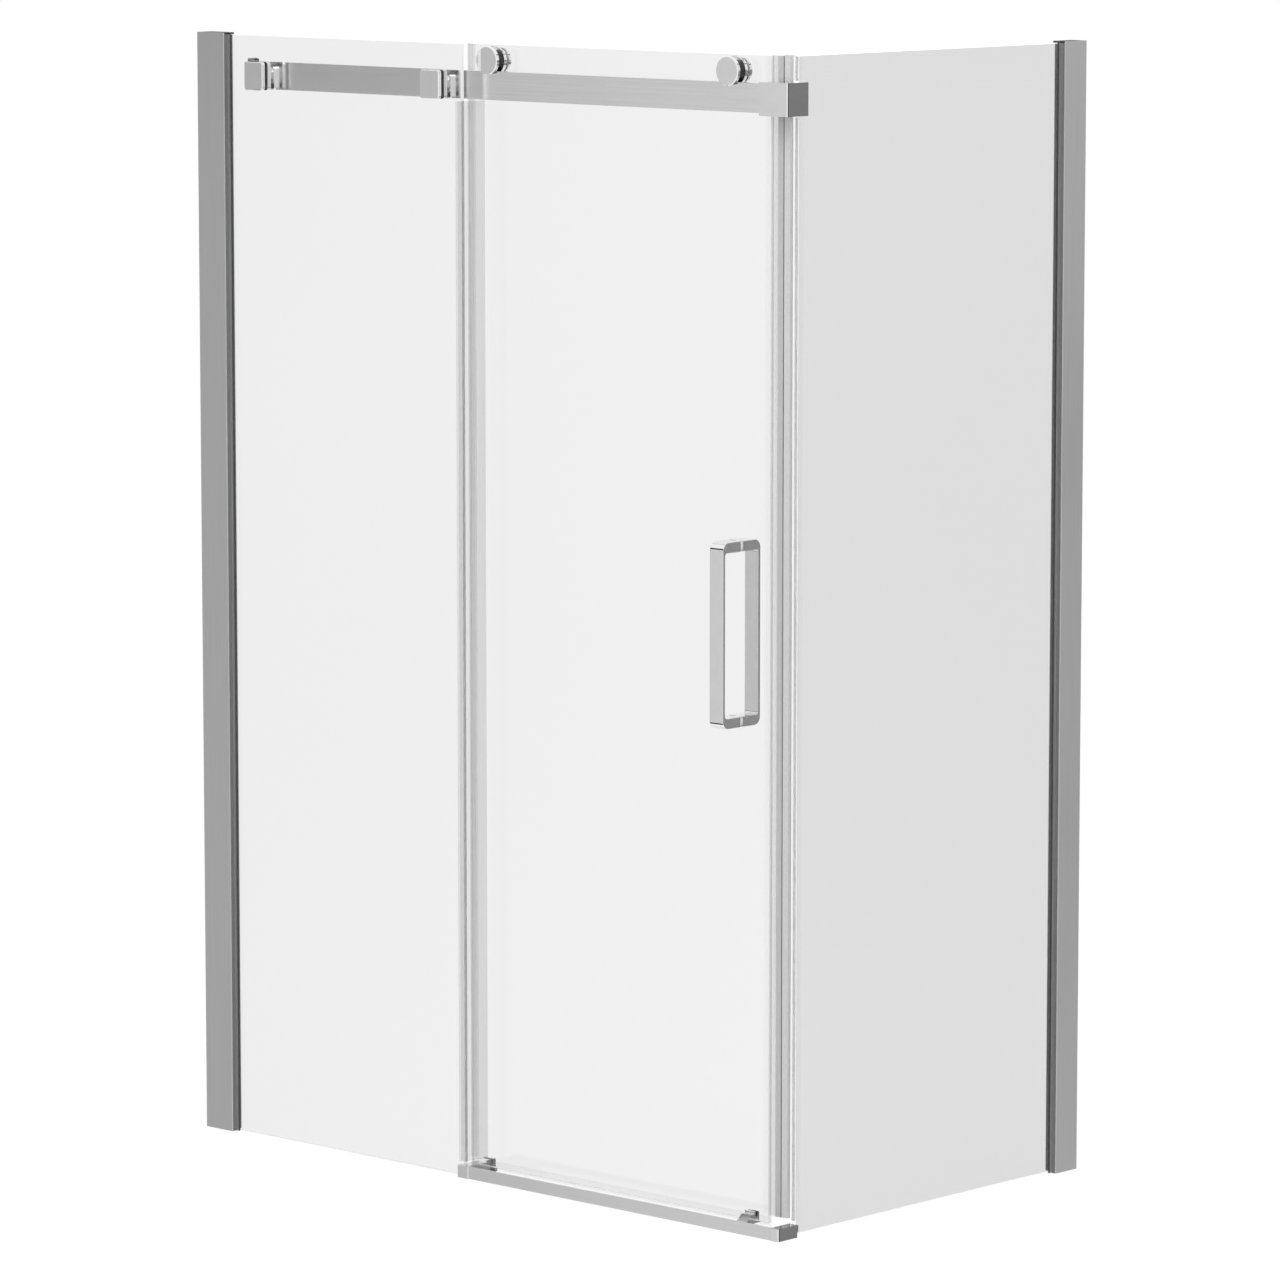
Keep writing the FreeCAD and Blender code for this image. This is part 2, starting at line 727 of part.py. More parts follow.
def make_rail_stop():
    """Stop hooked over the rail's left end and the rubber buffer that meets the left wheel."""
    body = new_body("rail_stop", rail_left, rail_back, rail_top)
    section = new_sketch(body, "YZ_Plane", "section")
    front = "-sizes.rail_thickness + sizes.rail_edge_rounding"
    back = "sizes.stop_leg_thickness"
    draw_outline(section, [
        (front, "0"), ("0", "0"), ("0", "-sizes.stop_leg_length"), (back, "-sizes.stop_leg_length"),
        (back, "sizes.stop_height"), (front, "sizes.stop_height"),
    ])
    pad(body, section, "sizes.stop_length")
    dress(body, "Fillet", "sizes.rail_edge_rounding",
          lambda edge: edge_at(edge, "x", z="sizes.stop_height"))
    buffer = new_body("rail_stop_buffer", buffer_start, rail_back, rail_top)
    section = new_sketch(buffer, "YZ_Plane", "section")
    low = "sizes.stop_height - sizes.buffer_depth"
    top = "sizes.stop_height - sizes.rail_edge_rounding"
    draw_rectangle(section, "sizes.rail_edge_rounding", low, f"{back} - sizes.rail_edge_rounding", top)
    pad(buffer, section, "sizes.buffer_length")


def draw_clamp_face(sketch, low, high):
    half = "sizes.clamp_width / 2"
    draw_rectangle(sketch, f"-{half}", low, half, high)


def round_clamp_corners(body):
    """Round the four corners of a clamp plate, whose edges run through the glass."""
    half = number("sizes.clamp_width / 2")
    dress(body, "Fillet", "sizes.clamp_corner_radius",
          lambda edge: straight(edge, "y") and abs(abs(edge.CenterOfMass.x) - half) < 1e-3)


def make_rail_clamp(name):
    """Front plate and turned spacer of one rail clamp. Local origin on the bolt's axis."""
    half_height = "sizes.clamp_height / 2"
    bolt_hole = "sizes.clamp_bolt_radius + sizes.clamp_bolt_clearance"
    plate_front = f"{pane_front} - sizes.clamp_front_gasket - sizes.clamp_plate_thickness"
    plate = new_body("rail_clamp_plate_" + name, clamp_x[name], plate_front, rail_middle_z)
    face = new_sketch(plate, "XZ_Plane", "face")
    draw_clamp_face(face, f"-{half_height}", half_height)
    pad(plate, face, "sizes.clamp_plate_thickness")
    round_clamp_corners(plate)
    dress(plate, "Chamfer", "sizes.clamp_bevel",
          lambda edge: abs(edge.CenterOfMass.y) < 1e-3 and not straight(edge, "y"))
    thread_start = "sizes.clamp_plate_thickness - sizes.clamp_bolt_bite - sizes.cut_overshoot"
    thread = new_sketch(plate, "XZ_Plane", "thread", thread_start)
    draw_circle(thread, "0", "0", bolt_hole)
    pocket(plate, thread)

    spacer_start = f"({pane_back} + sizes.clamp_back_gasket)"
    spacer = new_body("rail_clamp_spacer_" + name, clamp_x[name], spacer_start, rail_middle_z)
    length = f"({rail_front} - {spacer_start})"
    seat = new_sketch(spacer, "XZ_Plane", "seat")
    draw_clamp_face(seat, f"-{half_height}", half_height)
    pad(spacer, seat, "sizes.spacer_plate_thickness")
    neck = new_sketch(spacer, "XZ_Plane", "neck", "sizes.spacer_plate_thickness")
    draw_circle(neck, "0", "0", "sizes.spacer_neck_radius")
    pad(spacer, neck, f"{length} - sizes.spacer_plate_thickness - sizes.spacer_flange_thickness")
    flange = new_sketch(spacer, "XZ_Plane", "flange", f"{length} - sizes.spacer_flange_thickness")
    flange_top = f"{roller_z} - sizes.disc_radius - sizes.disc_clearance - {rail_middle_z}"
    draw_clamp_face(flange, f"-{half_height}", flange_top)
    pad(spacer, flange, "sizes.spacer_flange_thickness")
    round_clamp_corners(spacer)
    bore = new_sketch(spacer, "XZ_Plane", "bore", "-sizes.cut_overshoot")
    draw_circle(bore, "0", "0", bolt_hole)
    pocket(spacer, bore)


def make_rail_clamp_gaskets():
    """Gaskets on both faces of the fixed pane and the sleeves in its holes, for both clamps."""
    body = new_body("rail_clamp_gaskets", wall_left, pane_front, rail_middle_z)
    half_width = "sizes.clamp_width / 2"
    half_height = "sizes.clamp_height / 2"
    bolt_hole = "sizes.clamp_bolt_radius + sizes.clamp_bolt_clearance"
    layers = (
        ("front", "-sizes.clamp_front_gasket", "sizes.clamp_front_gasket"),
        ("back", "sizes.glass_thickness", "sizes.clamp_back_gasket"),
    )
    for layer, start, thickness in layers:
        sketch = new_sketch(body, "XZ_Plane", layer, start)
        for x in clamp_x.values():
            centre = f"({x} - {wall_left})"
            draw_rectangle(sketch, f"{centre} - {half_width}", f"-{half_height}",
                           f"{centre} + {half_width}", half_height)
            draw_circle(sketch, centre, "0", bolt_hole)
        pad(body, sketch, thickness)
    corners = number("sizes.clamp_width / 2")
    centres = [number(f"{x} - {wall_left}") for x in clamp_x.values()]
    dress(body, "Fillet", "sizes.clamp_corner_radius",
          lambda edge: straight(edge, "y")
          and any(abs(abs(edge.CenterOfMass.x - centre) - corners) < 1e-3 for centre in centres))
    sleeves = new_sketch(body, "XZ_Plane", "sleeves", "sizes.sleeve_clearance")
    for x in clamp_x.values():
        draw_circle(sleeves, f"{x} - {wall_left}", "0", "sizes.clamp_hole_radius - sizes.sleeve_clearance")
        draw_circle(sleeves, f"{x} - {wall_left}", "0", bolt_hole)
    pad(body, sleeves, "sizes.glass_thickness - 2 * sizes.sleeve_clearance")


def make_rail_clamp_bolts():
    """Two button-headed bolts from the rail's back into the front plates."""
    body = new_body("rail_clamp_bolts", wall_left, rail_back, rail_middle_z)
    tip = f"({rail_back} - {pane_front} + sizes.clamp_front_gasket + sizes.clamp_bolt_bite)"
    shanks = new_sketch(body, "XZ_Plane", "shanks", f"-{tip}")
    heads = new_sketch(body, "XZ_Plane", "heads")
    socket_floor = "sizes.clamp_bolt_head_height - sizes.clamp_bolt_socket_depth"
    sockets = new_sketch(body, "XZ_Plane", "sockets", socket_floor)
    for x in clamp_x.values():
        draw_circle(shanks, f"{x} - {wall_left}", "0", "sizes.clamp_bolt_radius")
        draw_circle(heads, f"{x} - {wall_left}", "0", "sizes.clamp_bolt_head_radius")
        draw_hexagon(sockets, f"{x} - {wall_left}", "0", "sizes.clamp_bolt_socket")
    pad(body, shanks, tip)
    pad(body, heads, "sizes.clamp_bolt_head_height")
    top = number("sizes.clamp_bolt_head_height")
    dress(body, "Fillet", "sizes.clamp_bolt_head_height / 2",
          lambda edge: not straight(edge, "y") and abs(edge.CenterOfMass.y - top) < 1e-3)
    pocket(body, sockets)


# Corner block that joins the rail to the side pane

block_front = f"({rail_front} - sizes.block_front_wall)"
block_back = f"({side_front_edge} - sizes.block_back_gap)"
block_bottom = f"({rail_bottom} - sizes.block_wall)"
cheek_inner = f"({side_middle} + {half_glass} + sizes.corner_gasket)"
plate_inner = f"({side_middle} - {half_glass} - sizes.corner_gasket - sizes.corner_plate_thickness)"


def make_corner_block():
    body = new_body("corner_block", block_left, block_front, block_bottom)
    depth = f"({block_back} - {block_front})"
    cheek_start = f"({cheek_inner} - {block_left})"
    right = f"({cheek_start} + sizes.cheek_thickness)"
    cheek_end = f"({side_front_edge} + sizes.cheek_length - {block_front})"
    height = "(sizes.rail_height + 2 * sizes.block_wall)"
    plan = new_sketch(body, "XY_Plane", "plan")
    draw_outline(plan, [
        ("0", "0"), (right, "0"), (right, cheek_end), (cheek_start, cheek_end),
        (cheek_start, depth), ("0", depth),
    ])
    pad(body, plan, height)
    dress(body, "Fillet", "sizes.block_corner_radius", lambda edge: edge_at(edge, "z", x=right, y="0"))
    dress(body, "Fillet", "sizes.block_edge_rounding",
          lambda edge: edge_at(edge, "z", x="0", y="0") or edge_at(edge, "z", x=right, y=cheek_end))
    slot = new_sketch(body, "YZ_Plane", "rail_pocket", "-sizes.cut_overshoot")
    fit = "sizes.rail_pocket_clearance"
    slot_front = f"{rail_front} - {block_front} - {fit}"
    slot_back = f"{rail_back} - {block_front} + {fit}"
    slot_bottom = f"sizes.block_wall - {fit}"
    slot_top = f"sizes.block_wall + sizes.rail_height + {fit}"
    draw_rectangle(slot, slot_front, slot_bottom, slot_back, slot_top)
    pocket(body, slot, f"sizes.rail_pocket_depth + {fit} + sizes.cut_overshoot")
    threads = new_sketch(body, "YZ_Plane", "threads", f"{cheek_start} - sizes.cut_overshoot")
    thread_radius = "sizes.corner_bolt_radius + sizes.screw_clearance"
    for sign in ("-", "+"):
        draw_circle(threads, f"{side_front_edge} + sizes.corner_bolt_inset - {block_front}",
                    f"{height} / 2 {sign} sizes.corner_bolt_half_spacing", thread_radius)
    pocket(body, threads, "sizes.corner_bolt_bite + sizes.face_gap + sizes.cut_overshoot")
    screw_hole = new_sketch(body, "XZ_Plane", "screw_hole", f"{rail_back} - {block_front}")
    screw_x = "sizes.rail_pocket_depth - sizes.rail_screw_inset"
    draw_circle(screw_hole, screw_x, f"{height} / 2", thread_radius)
    pocket(body, screw_hole)


def make_corner_clamp():
    """Inner plate, gaskets and screws that hold the corner block to the side pane."""
    start = "sizes.block_back_gap / 2"
    hole = "sizes.corner_bolt_radius + sizes.screw_clearance"
    half = "sizes.rail_height / 2"
    plate = new_body("corner_clamp_plate", plate_inner, side_front_edge, rail_middle_z)
    face = new_sketch(plate, "YZ_Plane", "face")
    draw_rectangle(face, start, f"-{half}", "sizes.cheek_length", half)
    pad(plate, face, "sizes.corner_plate_thickness")
    dress(plate, "Fillet", "sizes.corner_plate_rounding", lambda edge: straight(edge, "x"))
    holes = new_sketch(plate, "YZ_Plane", "holes", "-sizes.cut_overshoot")

    gaskets = new_body("corner_gaskets", side_middle, side_front_edge, rail_middle_z)
    inner = new_sketch(gaskets, "YZ_Plane", "inner", f"-{half_glass} - sizes.corner_gasket")
    outer = new_sketch(gaskets, "YZ_Plane", "outer", half_glass)
    sleeves = new_sketch(gaskets, "YZ_Plane", "sleeves", f"-{half_glass} + sizes.sleeve_clearance")
    for layer in (inner, outer):
        draw_rectangle(layer, start, f"-{half}", "sizes.cheek_length", half)

    bolts = new_body("corner_bolts", plate_inner, side_front_edge, rail_middle_z)
    heads = new_sketch(bolts, "YZ_Plane", "heads", "-sizes.corner_bolt_head_height")
    shanks = new_sketch(bolts, "YZ_Plane", "shanks")
    sockets = new_sketch(bolts, "YZ_Plane", "sockets", "-sizes.corner_bolt_head_height - sizes.cut_overshoot")
    sleeve_radius = "(sizes.corner_hole_radius - sizes.sleeve_clearance)"
    for sign in ("-", "+"):
        z = f"{sign}sizes.corner_bolt_half_spacing"
        for layer in (holes, inner, outer, sleeves):
            draw_circle(layer, "sizes.corner_bolt_inset", z, hole)
        draw_circle(sleeves, "sizes.corner_bolt_inset", z, sleeve_radius)
        draw_circle(heads, "sizes.corner_bolt_inset", z, "sizes.corner_bolt_head_radius")
        draw_circle(shanks, "sizes.corner_bolt_inset", z, "sizes.corner_bolt_radius")
        draw_hexagon(sockets, "sizes.corner_bolt_inset", z, "sizes.corner_bolt_socket")
    pocket(plate, holes)
    pad(gaskets, inner, "sizes.corner_gasket")
    pad(gaskets, outer, "sizes.corner_gasket")
    pad(gaskets, sleeves, "sizes.glass_thickness - 2 * sizes.sleeve_clearance")
    pad(bolts, heads, "sizes.corner_bolt_head_height")
    pad(bolts, shanks, f"{cheek_inner} - {plate_inner} + sizes.corner_bolt_bite")
    pocket(bolts, sockets, "sizes.corner_bolt_socket_depth + sizes.cut_overshoot")

    screw_x = f"{block_left} + sizes.rail_pocket_depth - sizes.rail_screw_inset - {plate_inner}"
    shank_start = f"{rail_back} - sizes.rail_screw_bite + sizes.face_gap - {side_front_edge}"
    rail_shank = new_sketch(bolts, "XZ_Plane", "rail_shank", shank_start)
    draw_circle(rail_shank, screw_x, "0", "sizes.corner_bolt_radius")
    pad(bolts, rail_shank, f"-sizes.block_back_gap - ({shank_start})")
    rail_head = new_sketch(bolts, "XZ_Plane", "rail_head", "-sizes.block_back_gap")
    draw_circle(rail_head, screw_x, "0", "sizes.corner_bolt_head_radius")
    pad(bolts, rail_head, "sizes.corner_bolt_head_height")


# Sill, its end pieces and the fixed guide

def make_sill():
    body = new_body("threshold_profile", sill_left, sill_front, "0")
    section = new_sketch(body, "YZ_Plane", "section")
    wall = "sizes.sill_wall"
    back = "sizes.sill_depth"
    base = "sizes.sill_base"
    lip = "sizes.sill_lip_height"
    top = "sizes.sill_height"
    draw_outline(section, [
        ("0", "0"), (back, "0"), (back, lip), (f"{back} - {wall}", lip),
        (f"{back} - {wall}", base), (wall, base), (wall, top), ("0", top),
    ])
    pad(body, section, f"{sill_right} - {sill_left}")
    dress(body, "Fillet", "sizes.sill_edge_rounding",
          lambda edge: edge_at(edge, "x", z=top) or edge_at(edge, "x", z=lip))


def pad_tongue(body, start, end):
    """Tongue of an end piece that lies in the sill, between its front wall and its lip."""
    tongue = new_sketch(body, "XY_Plane", "tongue", "sizes.sill_base")
    near = "sizes.end_proud + sizes.sill_wall + sizes.slide_clearance"
    far = "sizes.end_proud + sizes.sill_depth - sizes.sill_wall - sizes.slide_clearance"
    draw_rectangle(tongue, start, near, end, far)
    pad(body, tongue, "sizes.end_tongue_height")


def make_sill_ends():
    depth = "(sizes.sill_depth + sizes.end_proud)"
    front = f"({sill_front} - sizes.end_proud)"
    left = new_body("threshold_end_left", f"{fixed_right} - sizes.end_left_overlap", front, "0")
    length = "sizes.end_left_length"
    plan = new_sketch(left, "XY_Plane", "plan")
    draw_rectangle(plan, "0", "0", length, depth)
    pad(left, plan, "sizes.sill_height")
    dress(left, "Fillet", "sizes.end_edge_rounding",
          lambda edge: edge_at(edge, "z", y="0") or edge_at(edge, "x", y="0", z="sizes.sill_height"))
    slot = new_sketch(left, "XY_Plane", "glass_slot", "sizes.pane_floor_gap - sizes.face_gap")
    slot_front = f"{pane_front} - {front} - sizes.face_gap"
    slot_back = f"{pane_back} - {front} + sizes.face_gap"
    draw_rectangle(slot, "-1", slot_front, "sizes.end_left_overlap + sizes.face_gap", slot_back)
    pocket(left, slot)
    pad_tongue(left, length, f"{length} + sizes.end_tongue_length")

    right = new_body("threshold_end_right", sill_right, front, "0")
    length = "sizes.end_right_length"
    plan = new_sketch(right, "XY_Plane", "plan")
    draw_rectangle(plan, "0", "0", length, depth)
    pad(right, plan, "sizes.sill_height")
    dress(right, "Fillet", "sizes.end_rounding", lambda edge: edge_at(edge, "z", x=length, y="0"))
    dress(right, "Fillet", "sizes.end_edge_rounding", lambda edge: edge_at(edge, "z", x="0", y="0"))
    arm = new_sketch(right, "XY_Plane", "arm")
    glass_inner = f"({side_middle} - {half_glass} - {sill_right})"
    cheek_side = f"({glass_inner} - sizes.face_gap)"
    cheek_left = f"({cheek_side} - sizes.end_cheek_thickness)"
    arm_end = f"({depth} + sizes.end_arm_length)"
    cheek_end = f"({arm_end} + sizes.end_cheek_length)"
    arm_right = f"({glass_inner} + sizes.glass_thickness)"
    draw_outline(arm, [
        (cheek_left, depth), (arm_right, depth), (arm_right, arm_end),
        (cheek_side, arm_end), (cheek_side, cheek_end), (cheek_left, cheek_end),
    ])
    pad(right, arm, "sizes.end_arm_height")
    pad_tongue(right, "-sizes.end_tongue_length", "0")


pad_gap = "(sizes.clip_thickness + sizes.face_gap)"


def make_fixed_guide():
    """Channel behind the sill's left end that the door's lower edge runs through, and its two pads."""
    start = f"({fixed_right} - sizes.guide_overlap)"
    body = new_body("fixed_guide", start, sill_back, "0")
    front_face = f"({door_front} - {pad_gap} - sizes.guide_pad - {sill_back})"
    back_face = f"({door_front} + sizes.glass_thickness + {pad_gap} + sizes.guide_pad - {sill_back})"
    outer = f"({back_face} + sizes.guide_cheek)"
    section = new_sketch(body, "YZ_Plane", "section")
    top = "sizes.guide_height"
    floor = "sizes.guide_floor"
    draw_outline(section, [
        ("0", "0"), (outer, "0"), (outer, top), (back_face, top), (back_face, floor),
        (front_face, floor), (front_face, top), ("sizes.guide_slope_run", top),
        ("0", "sizes.guide_nose_height"),
    ])
    pad(body, section, "sizes.guide_length")
    pads = new_body("fixed_guide_pads", start, sill_back, "sizes.guide_floor")
    section = new_sketch(pads, "YZ_Plane", "section")
    top = "sizes.guide_height - sizes.guide_floor"
    draw_rectangle(section, front_face, "0", f"{front_face} + sizes.guide_pad", top)
    draw_rectangle(section, f"{back_face} - sizes.guide_pad", "0", back_face, top)
    pad(pads, section, "sizes.guide_length")


# Seals

def make_fixed_seal():
    """Clip on the fixed pane's free edge, with an arm and a fin that reach towards the door."""
    start = "(sizes.guide_height + sizes.seal_end_gap)"
    body = new_body("fixed_seal", fixed_right, pane_front, start)
    clip = "sizes.clip_thickness"
    leg = "-sizes.clip_leg_length"
    web = "sizes.fixed_seal_web"
    arm_end = "(sizes.glass_thickness + sizes.fixed_seal_arm)"
    tip = f"({door_front} - {pane_front} - sizes.seal_end_gap)"
    section = new_sketch(body, "XY_Plane", "section")
    draw_outline(section, [
        (leg, f"-{clip}"), (web, f"-{clip}"), (web, arm_end), ("sizes.fixed_seal_reach", tip),
        ("sizes.fixed_seal_reach - sizes.fixed_seal_fin", tip), (f"{web} - sizes.fixed_seal_fin", arm_end),
        (f"{web} - sizes.fixed_seal_fin", f"sizes.glass_thickness + {clip}"),
        (leg, f"sizes.glass_thickness + {clip}"), (leg, "sizes.glass_thickness"),
        ("0", "sizes.glass_thickness"),
        ("0", "0"), (leg, "0"),
    ])
    pad(body, section, f"{rail_bottom} - sizes.seal_end_gap - {start}")


housing_left = f"({side_middle} - sizes.side_housing_reach)"
housing_front = f"({door_middle} - sizes.housing_depth / 2)"


def make_side_seal():
    """Clip on the side pane's front edge, with an arm and a housing for the magnet strip."""
    start = "(sizes.sill_height + sizes.seal_end_gap)"
    body = new_body("side_seal", side_middle, side_front_edge, start)
    clip = "sizes.clip_thickness"
    outer = f"({half_glass} + {clip})"
    leg = "sizes.clip_leg_length"
    left = "(-sizes.side_housing_reach)"
    right = f"({left} + sizes.side_housing_length)"
    front = f"({housing_front} - {side_front_edge})"
    back = f"({front} + sizes.housing_depth)"
    arm_front = f"({front} + sizes.housing_depth / 2 - sizes.side_seal_arm / 2)"
    arm_back = f"({arm_front} + sizes.side_seal_arm)"
    web = "(-sizes.block_back_gap / 2)"
    section = new_sketch(body, "XY_Plane", "section")
    draw_outline(section, [
        (f"-{outer}", web), (outer, web), (outer, leg), (half_glass, leg), (half_glass, "0"),
        (f"-{half_glass}", "0"), (f"-{half_glass}", leg), (f"-{outer}", leg), (f"-{outer}", arm_back),
        (right, arm_back), (right, back), (left, back), (left, front), (right, front), (right, arm_front),
        (f"-{outer}", arm_front),
    ])
    wall = "sizes.housing_wall"
    draw_rectangle(section, f"{left} + {wall}", f"{front} + {wall}", f"{right} - {wall}", f"{back} - {wall}")
    height = f"(sizes.overall_height - sizes.pane_top_drop - {start})"
    pad(body, section, height)
    notch = new_sketch(body, "XZ_Plane", "notch", f"{web} - sizes.cut_overshoot")
    low = f"{block_bottom} - {start} - sizes.seal_end_gap"
    high = f"{block_bottom} + sizes.rail_height + 2 * sizes.block_wall - {start} + sizes.seal_end_gap"
    draw_rectangle(notch, f"{right} + {clip}", low, f"{outer} + sizes.cut_overshoot", high)
    pocket(body, notch)

    magnet = new_body("side_magnet", housing_left, housing_front, start)
    section = new_sketch(magnet, "XY_Plane", "section")
    gap = f"({wall} + sizes.magnet_clearance)"
    draw_rectangle(section, gap, gap, f"sizes.side_housing_length - {gap}", f"sizes.housing_depth - {gap}")
    pad(magnet, section, height)


def clip_start():
    """Outline points of a clip's legs on the door's edge, local X zero at the edge, pointing to -X."""
    clip = "sizes.clip_thickness"
    return [
        ("-sizes.clip_leg_length", f"sizes.glass_thickness + {clip}"),
        ("-sizes.clip_leg_length", "sizes.glass_thickness"),
        ("0", "sizes.glass_thickness"),
        ("0", "0"),
        ("-sizes.clip_leg_length", "0"),
        ("-sizes.clip_leg_length", f"-{clip}"),
    ]


door_seal_start = "(sizes.door_floor_gap + sizes.bottom_seal_height + sizes.seal_end_gap)"
door_seal_height = f"(sizes.overall_height - sizes.door_top_drop - {door_seal_start})"


def make_door_magnet_seal():
    body = new_body("door_magnet_seal", door_right, door_front, door_seal_start)
    clip = "sizes.clip_thickness"
    wall = "sizes.housing_wall"
    tube = "sizes.door_tube_length"
    reach = f"({housing_left} - sizes.face_gap - {door_right})"
    back = "sizes.glass_thickness"
    section = new_sketch(body, "XY_Plane", "section")
    draw_outline(section, clip_start() + [
        (tube, f"-{clip}"), (tube, "0"), (reach, "0"),
        (reach, back), (tube, back), (tube, f"{back} + {clip}"),
    ])
    draw_rectangle(section, wall, wall, f"{tube} - {wall}", f"{back} - {wall}")
    draw_rectangle(section, f"{tube} + {wall}", wall, f"{reach} - {wall}", f"{back} - {wall}")
    pad(body, section, door_seal_height)

    magnet = new_body("door_magnet", door_right, door_front, door_seal_start)
    section = new_sketch(magnet, "XY_Plane", "section")
    gap = f"({wall} + sizes.magnet_clearance)"
    draw_rectangle(section, f"{tube} + {gap}", gap, f"{reach} - {gap}", f"{back} - {gap}")
    pad(magnet, section, door_seal_height)


def make_door_trailing_seal():
    """Clip with a blunt bulb on the door's left edge. Turned half round, so its legs point to +X."""
    back = f"({door_front} + sizes.glass_thickness)"
    body = new_body("door_trailing_seal", door_left, back, door_seal_start, 180)
    clip = "sizes.clip_thickness"
    section = new_sketch(body, "XY_Plane", "section")
    draw_outline(section, clip_start() + [
        (clip, f"-{clip}"), ("sizes.trailing_bulb", f"{half_glass} - {clip}"),
        ("sizes.trailing_bulb", f"{half_glass} + {clip}"), (clip, f"sizes.glass_thickness + {clip}"),
    ])
    pad(body, section, door_seal_height)


guide_left = f"({door_right} - sizes.door_guide_inset - sizes.door_guide_length)"
guide_right = f"({door_right} - sizes.door_guide_inset)"


def make_door_bottom_seal():
    """Clip under the door with a drip fin, interrupted where the door guide clamps the glass."""
    body = new_body("door_bottom_seal", door_left, door_front, "sizes.door_floor_gap")
    clip = "sizes.clip_thickness"
    glass = "sizes.glass_thickness"
    top = "sizes.bottom_seal_height"
    fin_front = f"({glass} - sizes.bottom_fin_width)"
    drop = "-sizes.bottom_fin_drop"
    section = new_sketch(body, "YZ_Plane", "section")
    draw_outline(section, [
        (f"-{clip}", top), (f"-{clip}", f"-{clip}"), (f"{fin_front} / 2", f"-{clip}"), (fin_front, drop),
        (glass, drop), (f"{glass} / 2 + sizes.bottom_fin_width", f"-{clip}"),
        (f"{glass} + {clip}", f"-{clip}"),
        (f"{glass} + {clip}", top), (glass, top), (glass, "0"), ("0", "0"), ("0", top),
    ])
    pad(body, section, f"{door_right} - {door_left}")
    notch = new_sketch(body, "XZ_Plane", "notch", f"-{clip} - sizes.cut_overshoot")
    gap = "sizes.seal_end_gap"
    draw_rectangle(notch, f"{guide_left} - {door_left} - {gap}", f"{drop} - sizes.cut_overshoot",
                   f"{guide_right} - {door_left} + {gap}", f"{top} + sizes.cut_overshoot")
    pocket(body, notch)


# Handle: two loops, one on each face of the door, joined by bolts through the glass

handle_bolt_reach = "(sizes.handle_length / 2 - sizes.handle_arm / 2)"


def make_handle(label, glass_face, sign):
    """One half of the handle. sign is the side of the door that it stands out to."""
    body = new_body(label, f"{handle_x} - sizes.handle_width / 2", glass_face, "sizes.handle_middle")
    half = "(sizes.handle_length / 2)"
    inside = f"({half} - sizes.handle_arm)"
    seat = f"({sign}sizes.handle_washer)"
    face = f"({sign}sizes.handle_stand_out)"
    grip = f"({sign}(sizes.handle_stand_out - sizes.handle_bar))"
    section = new_sketch(body, "YZ_Plane", "section")
    draw_outline(section, [
        (seat, half), (face, half), (face, f"-{half}"), (seat, f"-{half}"),
        (seat, f"-{inside}"), (grip, f"-{inside}"), (grip, inside), (seat, inside),
    ])
    pad(body, section, "sizes.handle_width")
    outer = number(half)
    inner = number(inside)
    dress(body, "Fillet", "sizes.handle_corner_radius",
          lambda edge: edge_at(edge, "x", y=face) and abs(abs(edge.CenterOfMass.z) - outer) < 1e-3)
    dress(body, "Fillet", "sizes.handle_inner_radius",
          lambda edge: edge_at(edge, "x", y=grip) and abs(abs(edge.CenterOfMass.z) - inner) < 1e-3)
    seat_y = number(seat)
    width = number("sizes.handle_width")
    dress(body, "Fillet", "sizes.handle_edge_rounding",
          lambda edge: not straight(edge, "x")
          and min(abs(edge.CenterOfMass.x), abs(edge.CenterOfMass.x - width)) < 1e-3
          and abs(edge.CenterOfMass.y - seat_y) > 1e-3)
    bite = "sizes.handle_bolt_bite"
    start = f"-{bite}" if sign == "-" else "sizes.handle_washer - sizes.cut_overshoot"
    bores = new_sketch(body, "XZ_Plane", "bores", start)
    for side in ("-", "+"):
        draw_circle(bores, "sizes.handle_width / 2", f"{side}{handle_bolt_reach}",
                    "sizes.handle_bolt_radius + sizes.screw_clearance")
    pocket(body, bores, f"{bite} - sizes.handle_washer + sizes.cut_overshoot")


def make_handle_fasteners():
    """Clear washers on both faces, sleeves in the glass and the two through bolts."""
    washers = new_body("handle_washers", handle_x, door_front, "sizes.handle_middle")
    hole = "sizes.handle_bolt_radius + sizes.screw_clearance"
    layers = (
        ("outer", "-sizes.handle_washer", "sizes.handle_washer", "sizes.handle_washer_radius"),
        ("inner", "sizes.glass_thickness", "sizes.handle_washer", "sizes.handle_washer_radius"),
        ("sleeves", "sizes.sleeve_clearance", "sizes.glass_thickness - 2 * sizes.sleeve_clearance",
         "sizes.handle_hole_radius - sizes.sleeve_clearance"),
    )
    for layer, start, thickness, radius in layers:
        sketch = new_sketch(washers, "XZ_Plane", layer, start)
        for side in ("-", "+"):
            draw_circle(sketch, "0", f"{side}{handle_bolt_reach}", radius)
            draw_circle(sketch, "0", f"{side}{handle_bolt_reach}", hole)
        pad(washers, sketch, thickness)
    bolts = new_body("handle_bolts", handle_x, door_front, "sizes.handle_middle")
    bite = "(sizes.handle_bolt_bite - sizes.face_gap)"
    shanks = new_sketch(bolts, "XZ_Plane", "shanks", f"-{bite}")
    for side in ("-", "+"):
        draw_circle(shanks, "0", f"{side}{handle_bolt_reach}", "sizes.handle_bolt_radius")
    pad(bolts, shanks, f"sizes.glass_thickness + 2 * {bite}")


# Guide on the door that straddles the sill's lip

